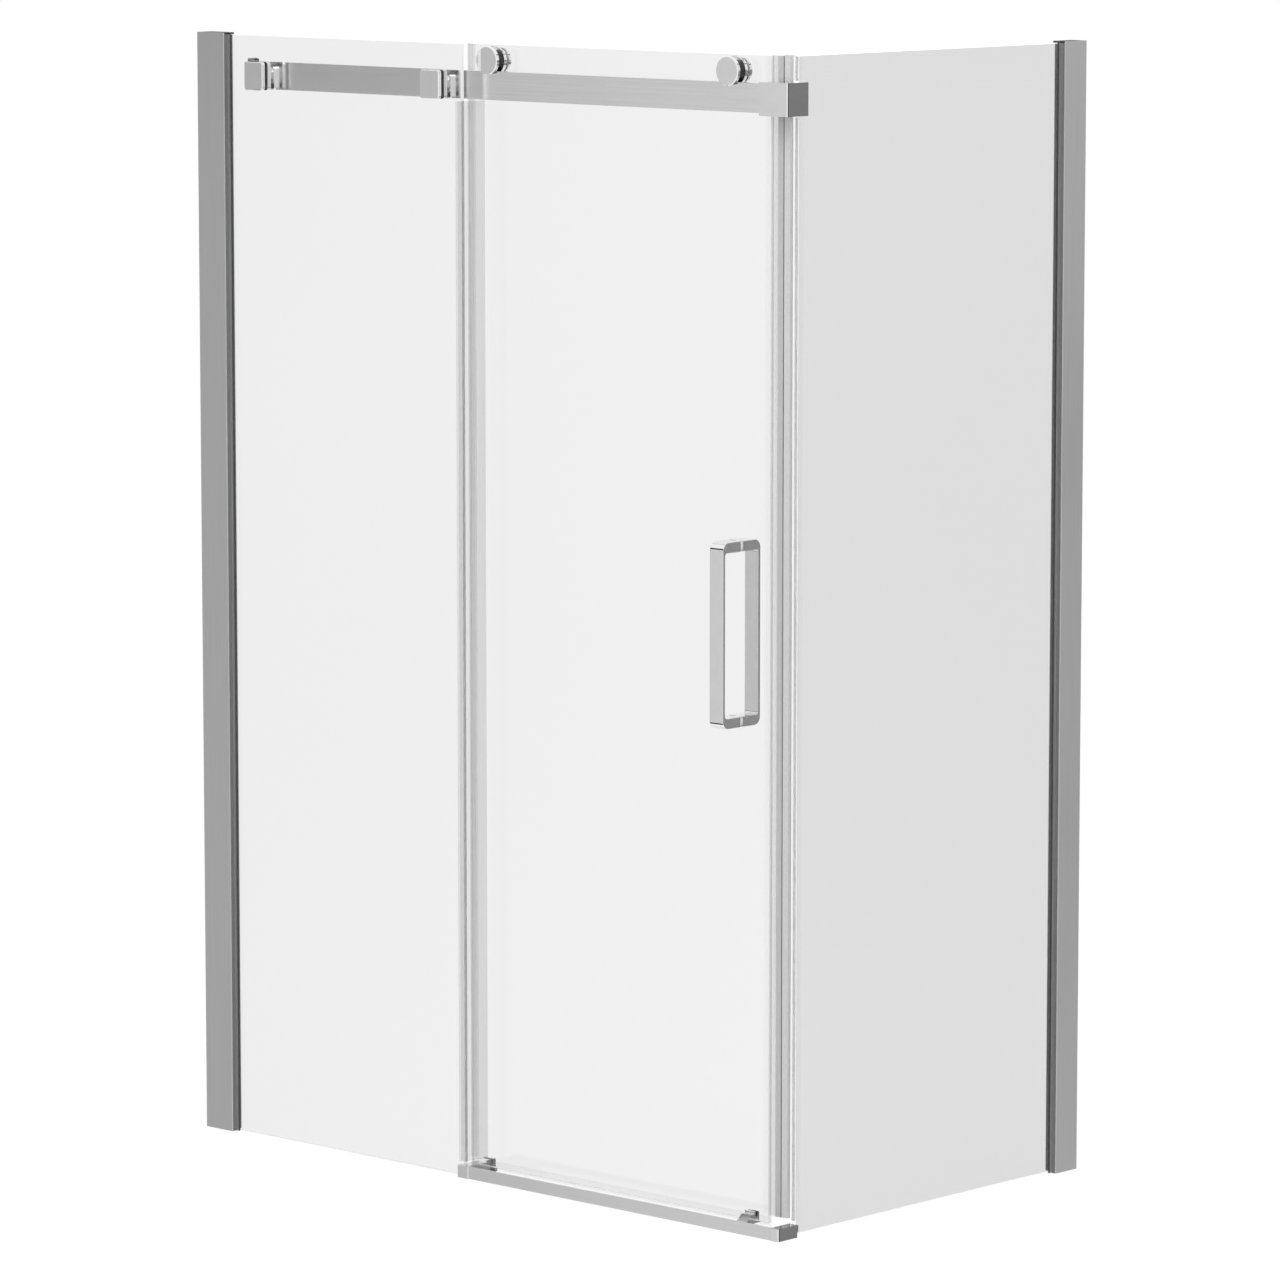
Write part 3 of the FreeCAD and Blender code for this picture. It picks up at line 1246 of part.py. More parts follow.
def make_door_guide():
    body = new_body("door_guide_body", guide_left, door_front, "0")
    leg = "sizes.door_guide_leg"
    glass = "sizes.glass_thickness"
    seat = "(sizes.door_floor_gap - sizes.face_gap)"
    section = new_sketch(body, "YZ_Plane", "section")
    draw_outline(section, [
        (f"-{leg}", f"{seat} - {leg}"), (f"{glass} + {leg}", f"{seat} - {leg}"),
        (f"{glass} + {leg}", "sizes.door_guide_plate_height"), (glass, "sizes.door_guide_plate_height"),
        (glass, seat), ("0", seat), ("0", f"{seat} + sizes.door_guide_height"),
        (f"-{leg}", f"{seat} + sizes.door_guide_height"),
    ])
    pad(body, section, "sizes.door_guide_length")
    dress(body, "Fillet", "sizes.end_edge_rounding",
          lambda edge: edge_at(edge, "y", z="sizes.door_guide_plate_height"))

    hook = new_body("door_guide_hook", guide_left, sill_back, "0")
    front = "(-sizes.hook_front_reach)"
    low = "(sizes.sill_base + sizes.hook_floor_gap)"
    slot_front = "(-sizes.sill_wall - sizes.hook_clearance)"
    slot_top = "(sizes.sill_lip_height + sizes.hook_clearance)"
    back = f"({door_front} - {leg} - {sill_back})"
    section = new_sketch(hook, "YZ_Plane", "section")
    draw_outline(section, [
        (front, low), (slot_front, low), (slot_front, slot_top), ("sizes.hook_clearance", slot_top),
        ("sizes.hook_clearance", low), (back, low), (back, "sizes.hook_top"),
        (f"{front} + sizes.hook_slope_run", "sizes.hook_top"), (front, "sizes.hook_slope_start"),
    ])
    pad(hook, section, "sizes.door_guide_length")


# Rollers. Local Y is the axle, zero in the middle of the rail, and v in the sketches is the radius.

groove = "(sizes.rail_thickness / 2 + sizes.groove_clearance)"
wheel_front = f"(-{groove} - sizes.front_flange)"
wheel_rear = f"({groove} + sizes.rear_flange)"
cover_back = f"({wheel_front} + sizes.cover_thickness)"
tyre_seat = "(sizes.tyre_radius - sizes.tyre_thickness)"
half_bearing = "(sizes.bearing_width / 2)"
glass_near = f"({door_front} - {rail_middle_y})"
glass_far = f"({glass_near} + sizes.glass_thickness)"


def turned_piece(label, side, profile):
    """Piece turned round a roller's axle from its half section."""
    body = new_body(f"{label}_{side}", roller_x[side], rail_middle_y, roller_z)
    section = new_sketch(body, "YZ_Plane", "half_section")
    draw_outline(section, profile)
    revolve(body, section)
    return body


def make_roller(side):
    disc = "sizes.disc_radius"
    bevel = "sizes.disc_bevel"
    recess = "sizes.axle_head_recess"
    bore = "sizes.bearing_radius"
    hub = "sizes.hub_radius"
    seat = f"({hub} + sizes.hub_fit)"
    hub_front = f"({cover_back} + sizes.face_gap)"
    edge = f"({groove} - sizes.bearing_fit)"
    turned_piece("roller_cover", side, [
        (wheel_front, "0"), (wheel_front, f"{disc} - {bevel}"), (f"{wheel_front} + {bevel}", disc),
        (f"-{groove}", disc), (f"-{groove}", seat), (cover_back, seat), (cover_back, "0"),
    ])
    # The hub carries the tyre between two shoulders, and its own ring is the rear flange.
    wheel = turned_piece("roller_wheel", side, [
        (hub_front, recess), (hub_front, hub), (f"-{edge}", hub), (f"-{edge}", tyre_seat),
        (edge, tyre_seat), (edge, hub), (wheel_rear, hub), (wheel_rear, bore),
        (f"-{half_bearing}", bore), (f"-{half_bearing}", recess),
    ])
    flange = new_sketch(wheel, "YZ_Plane", "rear_flange")
    draw_outline(flange, [
        (groove, seat), (groove, disc), (f"{wheel_rear} - {bevel}", disc),
        (wheel_rear, f"{disc} - {bevel}"), (wheel_rear, seat),
    ])
    revolve(wheel, flange)
    tyre_bore = f"({tyre_seat} + sizes.hub_fit)"
    tread = "sizes.tyre_radius"
    turned_piece("roller_tyre", side, [
        (f"-{edge}", tyre_bore), (edge, tyre_bore), (edge, tread), (f"-{edge}", tread),
    ])
    inner = "(sizes.axle_radius + sizes.axle_fit)"
    outer = f"({bore} - sizes.bearing_fit)"
    ring = "sizes.bearing_ring"
    shield = f"({half_bearing} - sizes.shield_recess)"
    outer_ring = f"({outer} - {ring})"
    inner_ring = f"({inner} + {ring})"
    upper = [
        (shield, outer_ring), (half_bearing, outer_ring), (half_bearing, outer),
        (f"-{half_bearing}", outer), (f"-{half_bearing}", outer_ring), (f"-{shield}", outer_ring),
    ]
    lower = [
        (f"-{shield}", inner_ring), (f"-{half_bearing}", inner_ring), (f"-{half_bearing}", inner),
        (half_bearing, inner), (half_bearing, inner_ring), (shield, inner_ring),
    ]
    turned_piece("roller_bearing", side, upper + lower)

    gap = "sizes.axle_end_gap"
    head_back = f"(-{half_bearing} - {gap})"
    head_front = f"({cover_back} + sizes.axle_head_gap)"
    shoulder = f"({half_bearing} + {gap})"
    thread = "sizes.axle_thread_radius"
    cap_seat = f"({glass_far} + sizes.inner_gasket)"
    cap_top = f"({cap_seat} + sizes.inner_cap_height)"
    axle_end = f"({cap_top} - sizes.inner_cap_floor - sizes.face_gap)"
    shoulder_end = f"({glass_far} - sizes.sleeve_clearance)"
    head = "sizes.axle_head_radius"
    shank = "sizes.axle_radius"
    collar = "sizes.axle_shoulder_radius"
    turned_piece("roller_axle", side, [
        (head_front, "0"), (head_front, head), (head_back, head), (head_back, shank),
        (shoulder, shank), (shoulder, collar), (shoulder_end, collar), (shoulder_end, thread),
        (axle_end, thread), (axle_end, "0"),
    ])
    hole = "(sizes.axle_shoulder_radius + sizes.screw_clearance)"
    flange_front = f"({glass_near} - sizes.bush_flange)"
    flange = "sizes.bush_flange_radius"
    barrel = "sizes.bush_radius"
    bush = turned_piece("roller_bush", side, [
        (flange_front, hole), (flange_front, flange), (glass_near, flange),
        (glass_near, barrel), (shoulder_end, barrel), (shoulder_end, hole),
    ])
    washer = new_sketch(bush, "YZ_Plane", "washer")
    draw_rectangle(washer, glass_far, hole, cap_seat, f"sizes.inner_cap_radius - {bevel}")
    revolve(bush, washer)
    bore_end = f"({cap_top} - sizes.inner_cap_floor)"
    turned_piece("roller_inner_cap", side, [
        (cap_seat, f"{thread} + sizes.screw_clearance"), (cap_seat, "sizes.inner_cap_radius"),
        (f"{cap_top} - {bevel}", "sizes.inner_cap_radius"), (cap_top, f"sizes.inner_cap_radius - {bevel}"),
        (cap_top, "0"), (bore_end, "0"), (bore_end, f"{thread} + sizes.screw_clearance"),
    ])


for side_name in ("left", "right"):
    make_wall_profile(side_name)
    make_glazing_profile(side_name)
    make_wiper_strips(side_name)
    make_glazing_gaskets(side_name)
    make_profile_cap(side_name)
    make_profile_screws(side_name)
make_fixed_glass()
make_side_glass()
make_rail()
make_rail_stop()
for clamp_name in clamp_x:
    make_rail_clamp(clamp_name)
make_rail_clamp_gaskets()
make_rail_clamp_bolts()
make_corner_block()
make_corner_clamp()
make_sill()
make_sill_ends()
make_fixed_guide()
make_fixed_seal()
make_side_seal()
make_door_glass()
make_door_magnet_seal()
make_door_trailing_seal()
make_door_bottom_seal()
make_handle("handle_outer", door_front, "-")
make_handle("handle_inner", f"{door_front} + sizes.glass_thickness", "+")
make_handle_fasteners()
make_door_guide()
for side_name in ("left", "right"):
    make_roller(side_name)

doc.recompute()
failed = [item.Name for item in doc.Objects if "Invalid" in item.State or "Error" in item.State]
for piece in pieces:
    if piece.Shape.isNull() or not piece.Shape.isValid():
        failed.append(piece.Label)
if failed:
    raise RuntimeError("not built: " + ", ".join(failed))
for piece in pieces:
    piece.Shape.exportStep("parts/" + piece.Label + ".step")
print(len(pieces), "pieces, door travel", round(number(door_travel), 3), "mm")
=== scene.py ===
import math

import bmesh
import bpy
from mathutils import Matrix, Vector


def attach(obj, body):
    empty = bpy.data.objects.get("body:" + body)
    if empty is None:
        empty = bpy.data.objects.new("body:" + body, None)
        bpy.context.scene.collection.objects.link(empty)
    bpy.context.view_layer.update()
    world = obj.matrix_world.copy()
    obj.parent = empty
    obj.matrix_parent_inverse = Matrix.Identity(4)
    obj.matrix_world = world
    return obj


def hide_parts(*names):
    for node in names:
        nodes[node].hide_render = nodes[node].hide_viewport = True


# Looks of a shower enclosure with a sliding door.
# Metres, row frame: +X to the return pane on the right, -Y to the front, +Z up from the underside.

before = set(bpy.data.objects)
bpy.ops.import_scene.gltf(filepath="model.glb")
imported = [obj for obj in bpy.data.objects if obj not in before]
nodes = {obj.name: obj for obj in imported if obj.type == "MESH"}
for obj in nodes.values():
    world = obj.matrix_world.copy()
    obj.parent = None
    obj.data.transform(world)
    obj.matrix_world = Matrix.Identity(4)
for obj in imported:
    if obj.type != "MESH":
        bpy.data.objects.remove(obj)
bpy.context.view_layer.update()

# Camera at the photograph's viewing angle
CAMERA_PLACE = (7.8808, -8.4791, 2.4803)
CAMERA_TURN = 42.861
CAMERA_PITCH = 7.657
CAMERA_REACH = 100.0
SENSOR = 36.0
FOCAL_PIXELS = 6534.2
IMAGE_PIXELS = 1280

# Background and floor
BACKGROUND = 1.0
SKY_LIGHT = 0.78
FLOOR_RADIUS = 40.0
FLOOR_CORNERS = 96
FLOOR_DROP = 0.0005
FLOOR_PAINT = 0.08
FLOOR_LIFT = 0.94
FLOOR_BOUNCE = 0.45

# Lamps. Directions are degrees from +X towards +Y and degrees above the horizon, from the studio's middle.
STUDIO_MIDDLE = Vector((0.0, 0.0, 1.0))
LAMP_DISTANCE = 6.5
LAMP_SIZE = 3.0
LAMPS = {
    "key_lamp": {"turn": 285.0, "rise": 48.0, "power": 70.0},
    "fill_lamp": {"turn": 20.0, "rise": 40.0, "power": 40.0},
}

# Boards that polished surfaces mirror: range of turns, range of rises, tones from the first turn to the last.
# A surface that faces the front or the side mirrors what lies at its mirror turn.
FRONT_MIRROR = 180.0 + 90.0 - CAMERA_TURN
SIDE_MIRROR = 90.0 - CAMERA_TURN
BOARD_DISTANCE = 9.0
BOARD_COLUMNS = 12
BOARD_ROWS = 8
BOARD_DARK = 0.44
BOARD_LIT = 0.70
LEVEL_RISES = (-22, 8)
BOARDS = {
    "front_board_left": ((FRONT_MIRROR - 24, FRONT_MIRROR - 6), LEVEL_RISES, (BOARD_DARK, BOARD_DARK)),
    "front_board": ((FRONT_MIRROR - 6, FRONT_MIRROR + 6), LEVEL_RISES, (BOARD_DARK, BOARD_LIT)),
    "front_board_right": ((FRONT_MIRROR + 6, FRONT_MIRROR + 70), LEVEL_RISES, (BOARD_LIT, BOARD_LIT)),
    "front_board_top": ((FRONT_MIRROR - 24, FRONT_MIRROR + 70), (8, 22), (0.04, 0.04)),
    "front_board_foot": ((FRONT_MIRROR - 24, FRONT_MIRROR + 70), (-40, -26), (0.04, 0.04)),
    "side_board": ((SIDE_MIRROR - 14, SIDE_MIRROR + 14), LEVEL_RISES, (0.22, 0.22)),
    "side_board_edge": ((SIDE_MIRROR - 58, SIDE_MIRROR - 14), LEVEL_RISES, (0.05, 0.05)),
    "back_board_high": ((SIDE_MIRROR + 8, SIDE_MIRROR + 40), (24, 40), (0.03, 0.03)),
}

# Surfaces. A pair is the darkest and lightest share of a tone, or the smoothest and dullest roughness.
DRAWN_TONES = (0.94, 1.05)
CHROME_TONES = (0.83, 0.87)
CHROME_SHINE = (0.025, 0.075)
CHROME_HAZE = (0.12, 0.42)
CHROME_BUMP = 0.000004
GLASS_BEND = 1.5
GLASS_TONES = (0.997, 1.003)
GLASS_EDGE_SHINE = (0.18, 0.34)
MILKY_TONES = (0.93, 1.04)
PLASTIC_SHINE = (0.14, 0.28)
PLASTIC_COVER = (0.88, 1.12)
DULL_SHINE_SPREAD = 0.08
SQUARE_ON = 0.9
BORDER_BLUR = 0.0004
PANE_RELIEF = 0.00005

# Noise scales along X, Y and Z
WIPING_MARKS = (70.0, 70.0, 420.0)
EDGE_GRINDING = (40.0, 40.0, 700.0)
FLOW_LINES = (500.0, 500.0, 2.0)
SPECKS = (300.0, 300.0, 300.0)


def degrees_direction(turn, rise):
    """Unit vector for a turn about Z and a rise above the horizon, both in degrees."""
    turn, rise = math.radians(turn), math.radians(rise)
    return Vector((math.cos(turn) * math.cos(rise), math.sin(turn) * math.cos(rise), math.sin(rise)))


def grey(value):
    """Opaque grey."""
    return (value, value, value, 1.0)


def shares(tone, pair):
    """The darkest and the lightest form of a tone."""
    return tone * pair[0], tone * pair[1]


def piece_box(name):
    """Lowest and highest corner of a piece, in the row frame."""
    corners = [nodes[name].matrix_world @ Vector(corner) for corner in nodes[name].bound_box]
    return ([min(corner[axis] for corner in corners) for axis in range(3)],
            [max(corner[axis] for corner in corners) for axis in range(3)])


def new_object(name, data):
    """New object in the scene."""
    item = bpy.data.objects.new(name, data)
    bpy.context.scene.collection.objects.link(item)
    return item


def new_material(name):
    """New material made of nodes."""
    material = bpy.data.materials.new(name)
    material.use_nodes = True
    return material


def mix_shaders(tree, share, first, second):
    """The first shader where share is 0, the second where it is 1."""
    mix = tree.nodes.new("ShaderNodeMixShader")
    for source, target in zip((share, first, second), mix.inputs):
        tree.links.new(source, target)
    return mix.outputs["Shader"]


def see_through(tree):
    """Shader that lets every ray past."""
    return tree.nodes.new("ShaderNodeBsdfTransparent").outputs["BSDF"]


class Recipe:
    """A new node material with its Principled shader, and short ways to add nodes to it."""

    def __init__(self, name):
        self.material = new_material(name)
        self.tree = self.material.node_tree
        self.shader = self.tree.nodes["Principled BSDF"]
        self.output = self.tree.nodes["Material Output"]
        self.place = self.add("ShaderNodeTexCoord").outputs["Object"]

    def add(self, kind, **settings):
        node = self.tree.nodes.new(kind)
        for key, value in settings.items():
            setattr(node, key, value)
        return node

    def join(self, source, target):
        self.tree.links.new(source, target)

    def set(self, **values):
        """Give the shader's sockets plain values. An underscore stands for a space in a socket's name."""
        for key, value in values.items():
            self.shader.inputs[key.replace("_", " ")].default_value = value

    def noise(self, scale=1.0, detail=3.0, stretch=(1.0, 1.0, 1.0), roughness=0.5):
        """Noise of the piece's own place, so that it moves with the piece."""
        mapping = self.add("ShaderNodeMapping")
        mapping.inputs["Scale"].default_value = stretch
        self.join(self.place, mapping.inputs["Vector"])
        node = self.add("ShaderNodeTexNoise")
        node.inputs["Scale"].default_value = scale
        node.inputs["Detail"].default_value = detail
        node.inputs["Roughness"].default_value = roughness
        self.join(mapping.outputs["Vector"], node.inputs["Vector"])
        return node.outputs["Fac"]

    def spread(self, source, low, high, start=0.3, end=0.7):
        """Map a value from start..end to low..high, clamped."""
        node = self.add("ShaderNodeMapRange")
        node.inputs["From Min"].default_value = start
        node.inputs["From Max"].default_value = end
        node.inputs["To Min"].default_value = low
        node.inputs["To Max"].default_value = high
        self.join(source, node.inputs["Value"])
        return node.outputs["Result"]

    def tones(self, pattern, low, high, shader=None):
        """Base colour between two tones, by a noise pattern."""
        shader = shader or self.shader
        node = self.add("ShaderNodeMix", data_type="RGBA")
        node.inputs["A"].default_value = grey(low)
        node.inputs["B"].default_value = grey(high)
        self.join(self.spread(pattern, 0.0, 1.0), node.inputs["Factor"])
        self.join(node.outputs["Result"], shader.inputs["Base Color"])

    def shine(self, pattern, low, high, shader=None):
        """Roughness between two values, by a noise pattern."""
        shader = shader or self.shader
        self.join(self.spread(pattern, low, high), shader.inputs["Roughness"])

    def bump(self, height, distance):
        """Fine relief, distance metres high at most."""
        node = self.add("ShaderNodeBump")
        node.inputs["Distance"].default_value = distance
        self.join(height, node.inputs["Height"])
        self.join(node.outputs["Normal"], self.shader.inputs["Normal"])

    def maths(self, operation, *values):
        """Result of one operation on numbers and sockets."""
        node = self.add("ShaderNodeMath", operation=operation)
        for socket, value in zip(node.inputs, values):
            if isinstance(value, float):
                socket.default_value = value
            else:
                self.join(value, socket)
        return node.outputs["Value"]

    def along(self, vector, axis):
        """Share of a vector along one axis."""
        parts = self.add("ShaderNodeSeparateXYZ")
        self.join(vector, parts.inputs["Vector"])
        return parts.outputs[axis]

    def facing(self, axis):
        """How squarely the surface faces along one axis, 0 to 1."""
        normal = self.add("ShaderNodeNewGeometry").outputs["Normal"]
        return self.maths("ABSOLUTE", self.along(normal, axis))

    def clear_for_lamps(self):
        """The shader, with the lamps' rays let past as through thin clear glass."""
        lamp_ray = self.add("ShaderNodeLightPath").outputs["Is Shadow Ray"]
        return mix_shaders(self.tree, lamp_ray, self.shader.outputs["BSDF"], see_through(self.tree))


def drawn_metal(name, tone, shine, grain, depth, across=900.0, along=4.0, glance=1.0):
    """Metal with fine drawing lines along one axis. glance is the share that it mirrors at a flat angle."""
    recipe = Recipe(name)
    stretch = [across, across, across]
    stretch["XYZ".index(grain)] = along
    lines = recipe.noise(detail=4.0, stretch=stretch, roughness=0.65)
    recipe.tones(lines, *shares(tone, DRAWN_TONES))
    recipe.shine(recipe.noise(scale=2.3, detail=2.0), *shine)
    recipe.set(Metallic=1.0, Specular_Tint=grey(glance))
    recipe.bump(lines, depth)
    return recipe.material


def chrome(name):
    """Polished chrome with faint wiping marks and a little uneven haze."""
    recipe = Recipe(name)
    haze = recipe.noise(scale=38.0, detail=5.0)
    together = recipe.maths("MULTIPLY", haze, recipe.noise(stretch=WIPING_MARKS))
    recipe.join(recipe.spread(together, *CHROME_SHINE, *CHROME_HAZE), recipe.shader.inputs["Roughness"])
    recipe.tones(haze, *CHROME_TONES)
    recipe.set(Metallic=1.0)
    recipe.bump(haze, CHROME_BUMP)
    return recipe.material


def pane_glass(name, axis, tint_and_shade, edge_tone, edge_painted_glow):
    """Clear safety glass. Its ground edges are milky and glow with painted light that stands in for light
    running inside the pane.
    """
    recipe = Recipe(name)
    # tint_and_shade is the pane's grey, partly its own colour and partly painted shade.
    recipe.tones(recipe.noise(scale=1.4, detail=1.0), *shares(tint_and_shade, GLASS_TONES))
    recipe.set(Transmission_Weight=1.0, IOR=GLASS_BEND, Roughness=0.0)
    edge = recipe.add("ShaderNodeBsdfPrincipled")
    grinding = recipe.noise(stretch=EDGE_GRINDING)
    recipe.tones(grinding, *shares(edge_tone, MILKY_TONES), edge)
    recipe.shine(grinding, *GLASS_EDGE_SHINE, edge)
    # Painted glow: the edges give off light of their own.
    edge.inputs["Emission Color"].default_value = grey(1.0)
    edge.inputs["Emission Strength"].default_value = edge_painted_glow
    on_face = recipe.maths("GREATER_THAN", recipe.facing(axis), SQUARE_ON)
    surface = mix_shaders(recipe.tree, on_face, edge.outputs["BSDF"], recipe.clear_for_lamps())
    recipe.join(surface, recipe.output.inputs["Surface"])
    return recipe.material


def clear_plastic(name, tone, covers, border, lines, painted_glow=0.0):
    """Clear plastic. border is an axis and a place on it; covers are its cover before and behind that.
    painted_glow is painted light that the plastic gives off.
    """
    recipe = Recipe(name)
    flow = recipe.noise(stretch=lines)
    recipe.tones(flow, *shares(tone, MILKY_TONES))
    recipe.shine(flow, *PLASTIC_SHINE)
    axis, edge = border
    cover = recipe.spread(recipe.along(recipe.place, axis), *covers, edge - BORDER_BLUR, edge + BORDER_BLUR)
    uneven = recipe.spread(flow, *PLASTIC_COVER)
    recipe.join(recipe.maths("MULTIPLY", cover, uneven), recipe.shader.inputs["Alpha"])
    # Painted glow of the plastic's own, where painted_glow is above 0.
    recipe.set(Emission_Color=grey(1.0), Emission_Strength=painted_glow)
    return recipe.material


def dull(name, tone, spread, shine, scale, depth):
    """Rubber or moulded plastic with a fine uneven skin."""
    recipe = Recipe(name)
    skin = recipe.noise(scale=scale, detail=6.0)
    recipe.tones(skin, *shares(tone, (1 - spread, 1 + spread)))
    recipe.shine(skin, shine - DULL_SHINE_SPREAD, shine + DULL_SHINE_SPREAD)
    recipe.bump(skin, depth)
    return recipe.material


# Metals
SATIN = drawn_metal("satin_aluminium_drawn", tone=0.66, shine=(0.48, 0.56), grain="Z", depth=0.00003)
# The glazing profile's metal is lighter than the wall profile's: painted light that lifts the shade in the
# recess where its nose sits and stands in for highlights on its rounded corners.
GLAZING_PAINTED_LIGHT = drawn_metal("glazing_aluminium_drawn_painted_light", tone=0.94, shine=(0.28, 0.36), grain="Z", depth=0.00002)
POLISHED = drawn_metal("polished_aluminium_drawn", tone=0.82, shine=(0.10, 0.15), grain="X", depth=0.000012,
                       glance=0.78)
# The right end piece of the sill has its own copy of the polished metal that mirrors less at a flat angle:
# painted shade on its top face.
SILL_END_SHADED = drawn_metal("sill_end_polished_shaded", tone=0.84, shine=(0.03, 0.07), grain="Z", depth=0.000004,
                       across=500.0, along=200.0, glance=0.58)
BRUSHED = drawn_metal("rail_brushed", tone=0.92, shine=(0.16, 0.22), grain="X", depth=0.000018)
STEEL = drawn_metal("bearing_steel_ground", tone=0.62, shine=(0.18, 0.26), grain="Y", depth=0.000008,
                    across=500.0, along=500.0)
CHROME = chrome("chrome_polished")

# Glass. Both panes are one glass: the side pane's darker tint is painted shade for its look at a flat angle,
# and its lighter, stronger-glowing edges are a painted highlight.
FRONT_GLASS = pane_glass("front_pane_glass", "Y", tint_and_shade=0.895, edge_tone=0.70, edge_painted_glow=0.32)
SIDE_GLASS = pane_glass("side_pane_glass", "X", tint_and_shade=0.79, edge_tone=0.90, edge_painted_glow=0.45)

# Clear plastic. Each seal's border is the edge of its pane; the other pieces have one cover all over.
EDGE = {name: piece_box(name) for name in ("fixed_glass", "door_glass", "side_glass")}
NO_BORDER = ("Y", 0.0)
FIXED_SEAL = clear_plastic("clear_fixed_seal", tone=0.50, covers=(0.15, 0.20),
                           border=("X", EDGE["fixed_glass"][1][0]), lines=FLOW_LINES)
TRAILING_SEAL = clear_plastic("clear_trailing_seal", tone=0.50, covers=(0.13, 0.11),
                              border=("X", EDGE["door_glass"][0][0]), lines=FLOW_LINES)
MAGNET_SEAL = clear_plastic("clear_magnet_seal", tone=0.64, covers=(0.03, 0.16),
                            border=("X", EDGE["door_glass"][1][0]), lines=FLOW_LINES)
SIDE_SEAL = clear_plastic("clear_side_seal", tone=0.64, covers=(0.15, 0.02),
                          border=("Y", EDGE["side_glass"][0][1]), lines=FLOW_LINES)
BOTTOM_SEAL = clear_plastic("clear_bottom_seal", tone=0.64, covers=(0.11, 0.04),
                            border=("Z", EDGE["door_glass"][0][2]), lines=FLOW_LINES)
# The washers carry a painted glow that lifts the shade between the handle arm and the glass.
WASHER = clear_plastic("clear_washer_plastic", tone=0.90, covers=(0.80, 0.80), border=NO_BORDER,
                       lines=SPECKS, painted_glow=0.55)
BUSH = clear_plastic("milky_bush_plastic", tone=0.80, covers=(0.85, 0.85), border=NO_BORDER, lines=SPECKS)
CLEAR = clear_plastic("clear_pad_plastic", tone=0.75, covers=(0.40, 0.40), border=NO_BORDER, lines=SPECKS)

# Rubber and moulded plastic
RUBBER = dull("black_rubber_skin", tone=0.020, spread=0.3, shine=0.55, scale=700.0, depth=0.00004)
WIPER = dull("grey_wiper_skin", tone=0.22, spread=0.12, shine=0.50, scale=600.0, depth=0.00003)
GASKET = dull("dark_gasket_skin", tone=0.06, spread=0.2, shine=0.50, scale=600.0, depth=0.00003)
STOP = dull("grey_plastic_skin", tone=0.26, spread=0.10, shine=0.40, scale=420.0, depth=0.00002)
TYRE = dull("tyre_skin", tone=0.030, spread=0.25, shine=0.45, scale=520.0, depth=0.00003)
MAGNET = dull("magnet_strip_skin", tone=0.84, spread=0.06, shine=0.42, scale=260.0, depth=0.00002)

# Pieces that aren't chrome
FINISHES = {
    "wall_profile_left": SATIN, "wall_profile_right": SATIN,
    "glazing_profile_left": GLAZING_PAINTED_LIGHT, "glazing_profile_right": GLAZING_PAINTED_LIGHT,
    "wiper_strips_left": WIPER, "wiper_strips_right": WIPER,
    "glazing_gaskets_left": GASKET, "glazing_gaskets_right": GASKET,
    "profile_cap_left": RUBBER, "profile_cap_right": RUBBER,
    "rail_clamp_gaskets": RUBBER, "corner_gaskets": RUBBER, "rail_stop_buffer": RUBBER,
    "fixed_glass": FRONT_GLASS, "door_glass": FRONT_GLASS, "side_glass": SIDE_GLASS,
    "rail": BRUSHED, "rail_stop": STOP,
    "threshold_profile": POLISHED, "threshold_end_left": POLISHED, "threshold_end_right": SILL_END_SHADED,
    "roller_tyre_left": TYRE, "roller_tyre_right": TYRE,
    "roller_bearing_left": STEEL, "roller_bearing_right": STEEL,
    "roller_bush_left": BUSH, "roller_bush_right": BUSH,
    "handle_washers": WASHER, "fixed_guide_pads": CLEAR,
    "side_magnet": MAGNET, "door_magnet": MAGNET,
    "fixed_seal": FIXED_SEAL, "side_seal": SIDE_SEAL, "door_magnet_seal": MAGNET_SEAL,
    "door_trailing_seal": TRAILING_SEAL, "door_bottom_seal": BOTTOM_SEAL,
}
for name, piece in nodes.items():
    finish = FINISHES.get(name, CHROME)
    if not piece.material_slots:
        piece.data.materials.append(finish)
    for slot in piece.material_slots:
        slot.material = finish


def relieved_pane(name, body, axis):
    """Pane a hair thinner than its solid, so that light meets it and what lies on it one after the other."""
    solid = nodes[name]
    mesh = solid.data.copy()
    mesh.name = name + "_pane"
    mesh.transform(solid.matrix_world)
    low, high = piece_box(name)
    middle = (low[axis] + high[axis]) / 2
    share = 1.0 - 2.0 * PANE_RELIEF / (high[axis] - low[axis])
    for vertex in mesh.vertices:
        vertex.co[axis] = middle + (vertex.co[axis] - middle) * share
    pane = new_object(name + "_pane", mesh)
    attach(pane, body)
    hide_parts(name)


relieved_pane("fixed_glass", "enclosure", 1)
relieved_pane("door_glass", "door", 1)
relieved_pane("side_glass", "enclosure", 0)


# Studio

def mirrored_share(tree):
    """1 for rays that a surface has mirrored on their way, 0 for all others."""
    # The depth counts how often a ray was mirrored, so 0.5 lies between never and once
    mirrored = tree.nodes.new("ShaderNodeMath")
    mirrored.operation = "GREATER_THAN"
    mirrored.inputs[1].default_value = 0.5
    tree.links.new(tree.nodes.new("ShaderNodeLightPath").outputs["Glossy Depth"], mirrored.inputs[0])
    return mirrored.outputs["Value"]


def seen_share(tree):
    """1 for rays from the camera, mirrors and glass, 0 for light that falls on surfaces."""
    path = tree.nodes.new("ShaderNodeLightPath")
    total = path.outputs["Is Camera Ray"]
    for ray in ("Is Glossy Ray", "Is Transmission Ray"):
        step = tree.nodes.new("ShaderNodeMath")
        step.operation = "MAXIMUM"
        tree.links.new(total, step.inputs[0])
        tree.links.new(path.outputs[ray], step.inputs[1])
        total = step.outputs["Value"]
    return total


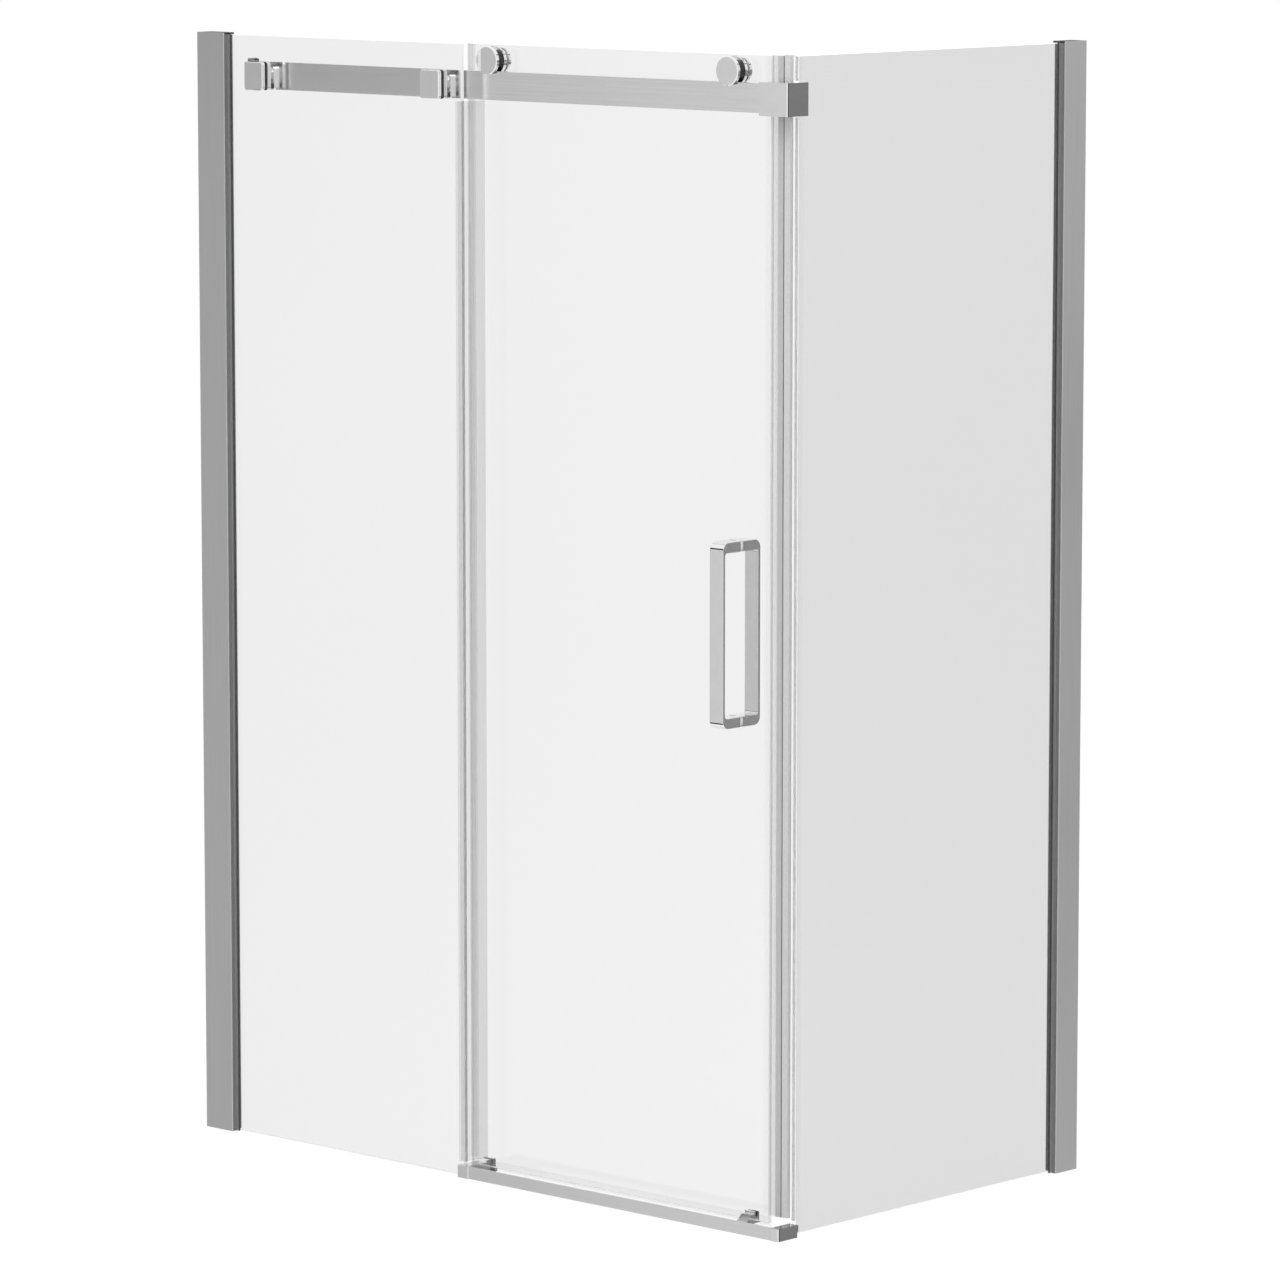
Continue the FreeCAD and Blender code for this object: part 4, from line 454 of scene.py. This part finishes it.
def seen_level(tree, unseen, seen):
    """One strength for light that falls on surfaces, another for rays that show the surface itself."""
    level = tree.nodes.new("ShaderNodeMapRange")
    level.inputs["To Min"].default_value = unseen
    level.inputs["To Max"].default_value = seen
    tree.links.new(seen_share(tree), level.inputs["Value"])
    return level.outputs["Result"]


def board_light(name):
    """Light of a board by its own tone. Only rays that a surface has mirrored meet it."""
    material = new_material(name)
    tree = material.node_tree
    tree.nodes.clear()
    tone = tree.nodes.new("ShaderNodeAttribute")
    tone.attribute_name = "tone"
    light = tree.nodes.new("ShaderNodeEmission")
    tree.links.new(tone.outputs["Fac"], light.inputs["Strength"])
    surface = mix_shaders(tree, mirrored_share(tree), see_through(tree), light.outputs["Emission"])
    output = tree.nodes.new("ShaderNodeOutputMaterial")
    tree.links.new(surface, output.inputs["Surface"])
    return material


BOARD_LIGHT = board_light("board_light")


def make_board(name, turns, rises, tones):
    """Grey board round the enclosure that only polished surfaces mirror. tones run from turn to turn."""
    mesh = bmesh.new()
    tone = mesh.verts.layers.float.new("tone")
    grid = []
    for row in range(BOARD_ROWS + 1):
        rise = rises[0] + (rises[1] - rises[0]) * row / BOARD_ROWS
        line = []
        for column in range(BOARD_COLUMNS + 1):
            share = column / BOARD_COLUMNS
            turn = turns[0] + (turns[1] - turns[0]) * share
            corner = mesh.verts.new(STUDIO_MIDDLE + degrees_direction(turn, rise) * BOARD_DISTANCE)
            corner[tone] = tones[0] + (tones[1] - tones[0]) * share
            line.append(corner)
        grid.append(line)
    for row in range(BOARD_ROWS):
        for column in range(BOARD_COLUMNS):
            mesh.faces.new((grid[row][column], grid[row][column + 1],
                            grid[row + 1][column + 1], grid[row + 1][column]))
    data = bpy.data.meshes.new(name)
    mesh.to_mesh(data)
    mesh.free()
    data.materials.append(BOARD_LIGHT)
    board = new_object(name, data)
    board.visible_camera = False
    board.visible_diffuse = False
    board.visible_volume_scatter = False
    board.visible_shadow = False


def make_world():
    """Even white sky, brighter to the camera, mirrors and glass than to surfaces."""
    world = bpy.data.worlds.new("white_studio")
    world.use_nodes = True
    tree = world.node_tree
    background = tree.nodes["Background"]
    background.inputs["Color"].default_value = grey(1.0)
    tree.links.new(seen_level(tree, SKY_LIGHT, BACKGROUND), background.inputs["Strength"])
    bpy.context.scene.world = world


def make_floor():
    """Dark paint that glows white where it is seen and keeps a faint shadow. Mirrors look past it."""
    material = new_material("white_floor")
    tree = material.node_tree
    paint = tree.nodes["Principled BSDF"]
    paint.inputs["Base Color"].default_value = grey(FLOOR_PAINT)
    paint.inputs["Roughness"].default_value = 1.0
    paint.inputs["Specular IOR Level"].default_value = 0.0
    paint.inputs["Emission Color"].default_value = grey(1.0)
    tree.links.new(seen_level(tree, FLOOR_BOUNCE, FLOOR_LIFT), paint.inputs["Emission Strength"])
    surface = mix_shaders(tree, mirrored_share(tree), paint.outputs["BSDF"], see_through(tree))
    tree.links.new(surface, tree.nodes["Material Output"].inputs["Surface"])
    mesh = bmesh.new()
    bmesh.ops.create_circle(mesh, cap_ends=True, segments=FLOOR_CORNERS, radius=FLOOR_RADIUS)
    data = bpy.data.meshes.new("floor")
    mesh.to_mesh(data)
    mesh.free()
    data.materials.append(material)
    floor = new_object("floor", data)
    floor.location.z = -FLOOR_DROP
    floor.visible_glossy = False


def make_camera():
    """Camera with the photograph's place, angle and focal length."""
    data = bpy.data.cameras.new("photo_view")
    data.sensor_width = SENSOR
    data.lens = FOCAL_PIXELS / IMAGE_PIXELS * SENSOR
    data.clip_end = CAMERA_REACH
    camera = new_object("photo_view", data)
    camera.location = CAMERA_PLACE
    camera.rotation_euler = (math.radians(90.0 - CAMERA_PITCH), 0.0, math.radians(CAMERA_TURN))
    bpy.context.scene.camera = camera


def make_lamp(name, turn, rise, power):
    """Round lamp that looks at the studio's middle. Mirrors don't show it."""
    data = bpy.data.lights.new(name, "AREA")
    data.shape = "DISK"
    data.size = LAMP_SIZE
    data.energy = power
    lamp = new_object(name, data)
    away = degrees_direction(turn, rise)
    lamp.location = STUDIO_MIDDLE + away * LAMP_DISTANCE
    lamp.rotation_euler = away.to_track_quat("Z", "Y").to_euler()
    lamp.visible_glossy = False


make_world()
make_floor()
make_camera()
for name, settings in LAMPS.items():
    make_lamp(name, **settings)
for name, (turns, rises, tones) in BOARDS.items():
    make_board(name, turns, rises, tones)

bpy.context.scene.view_settings.view_transform = "Standard"
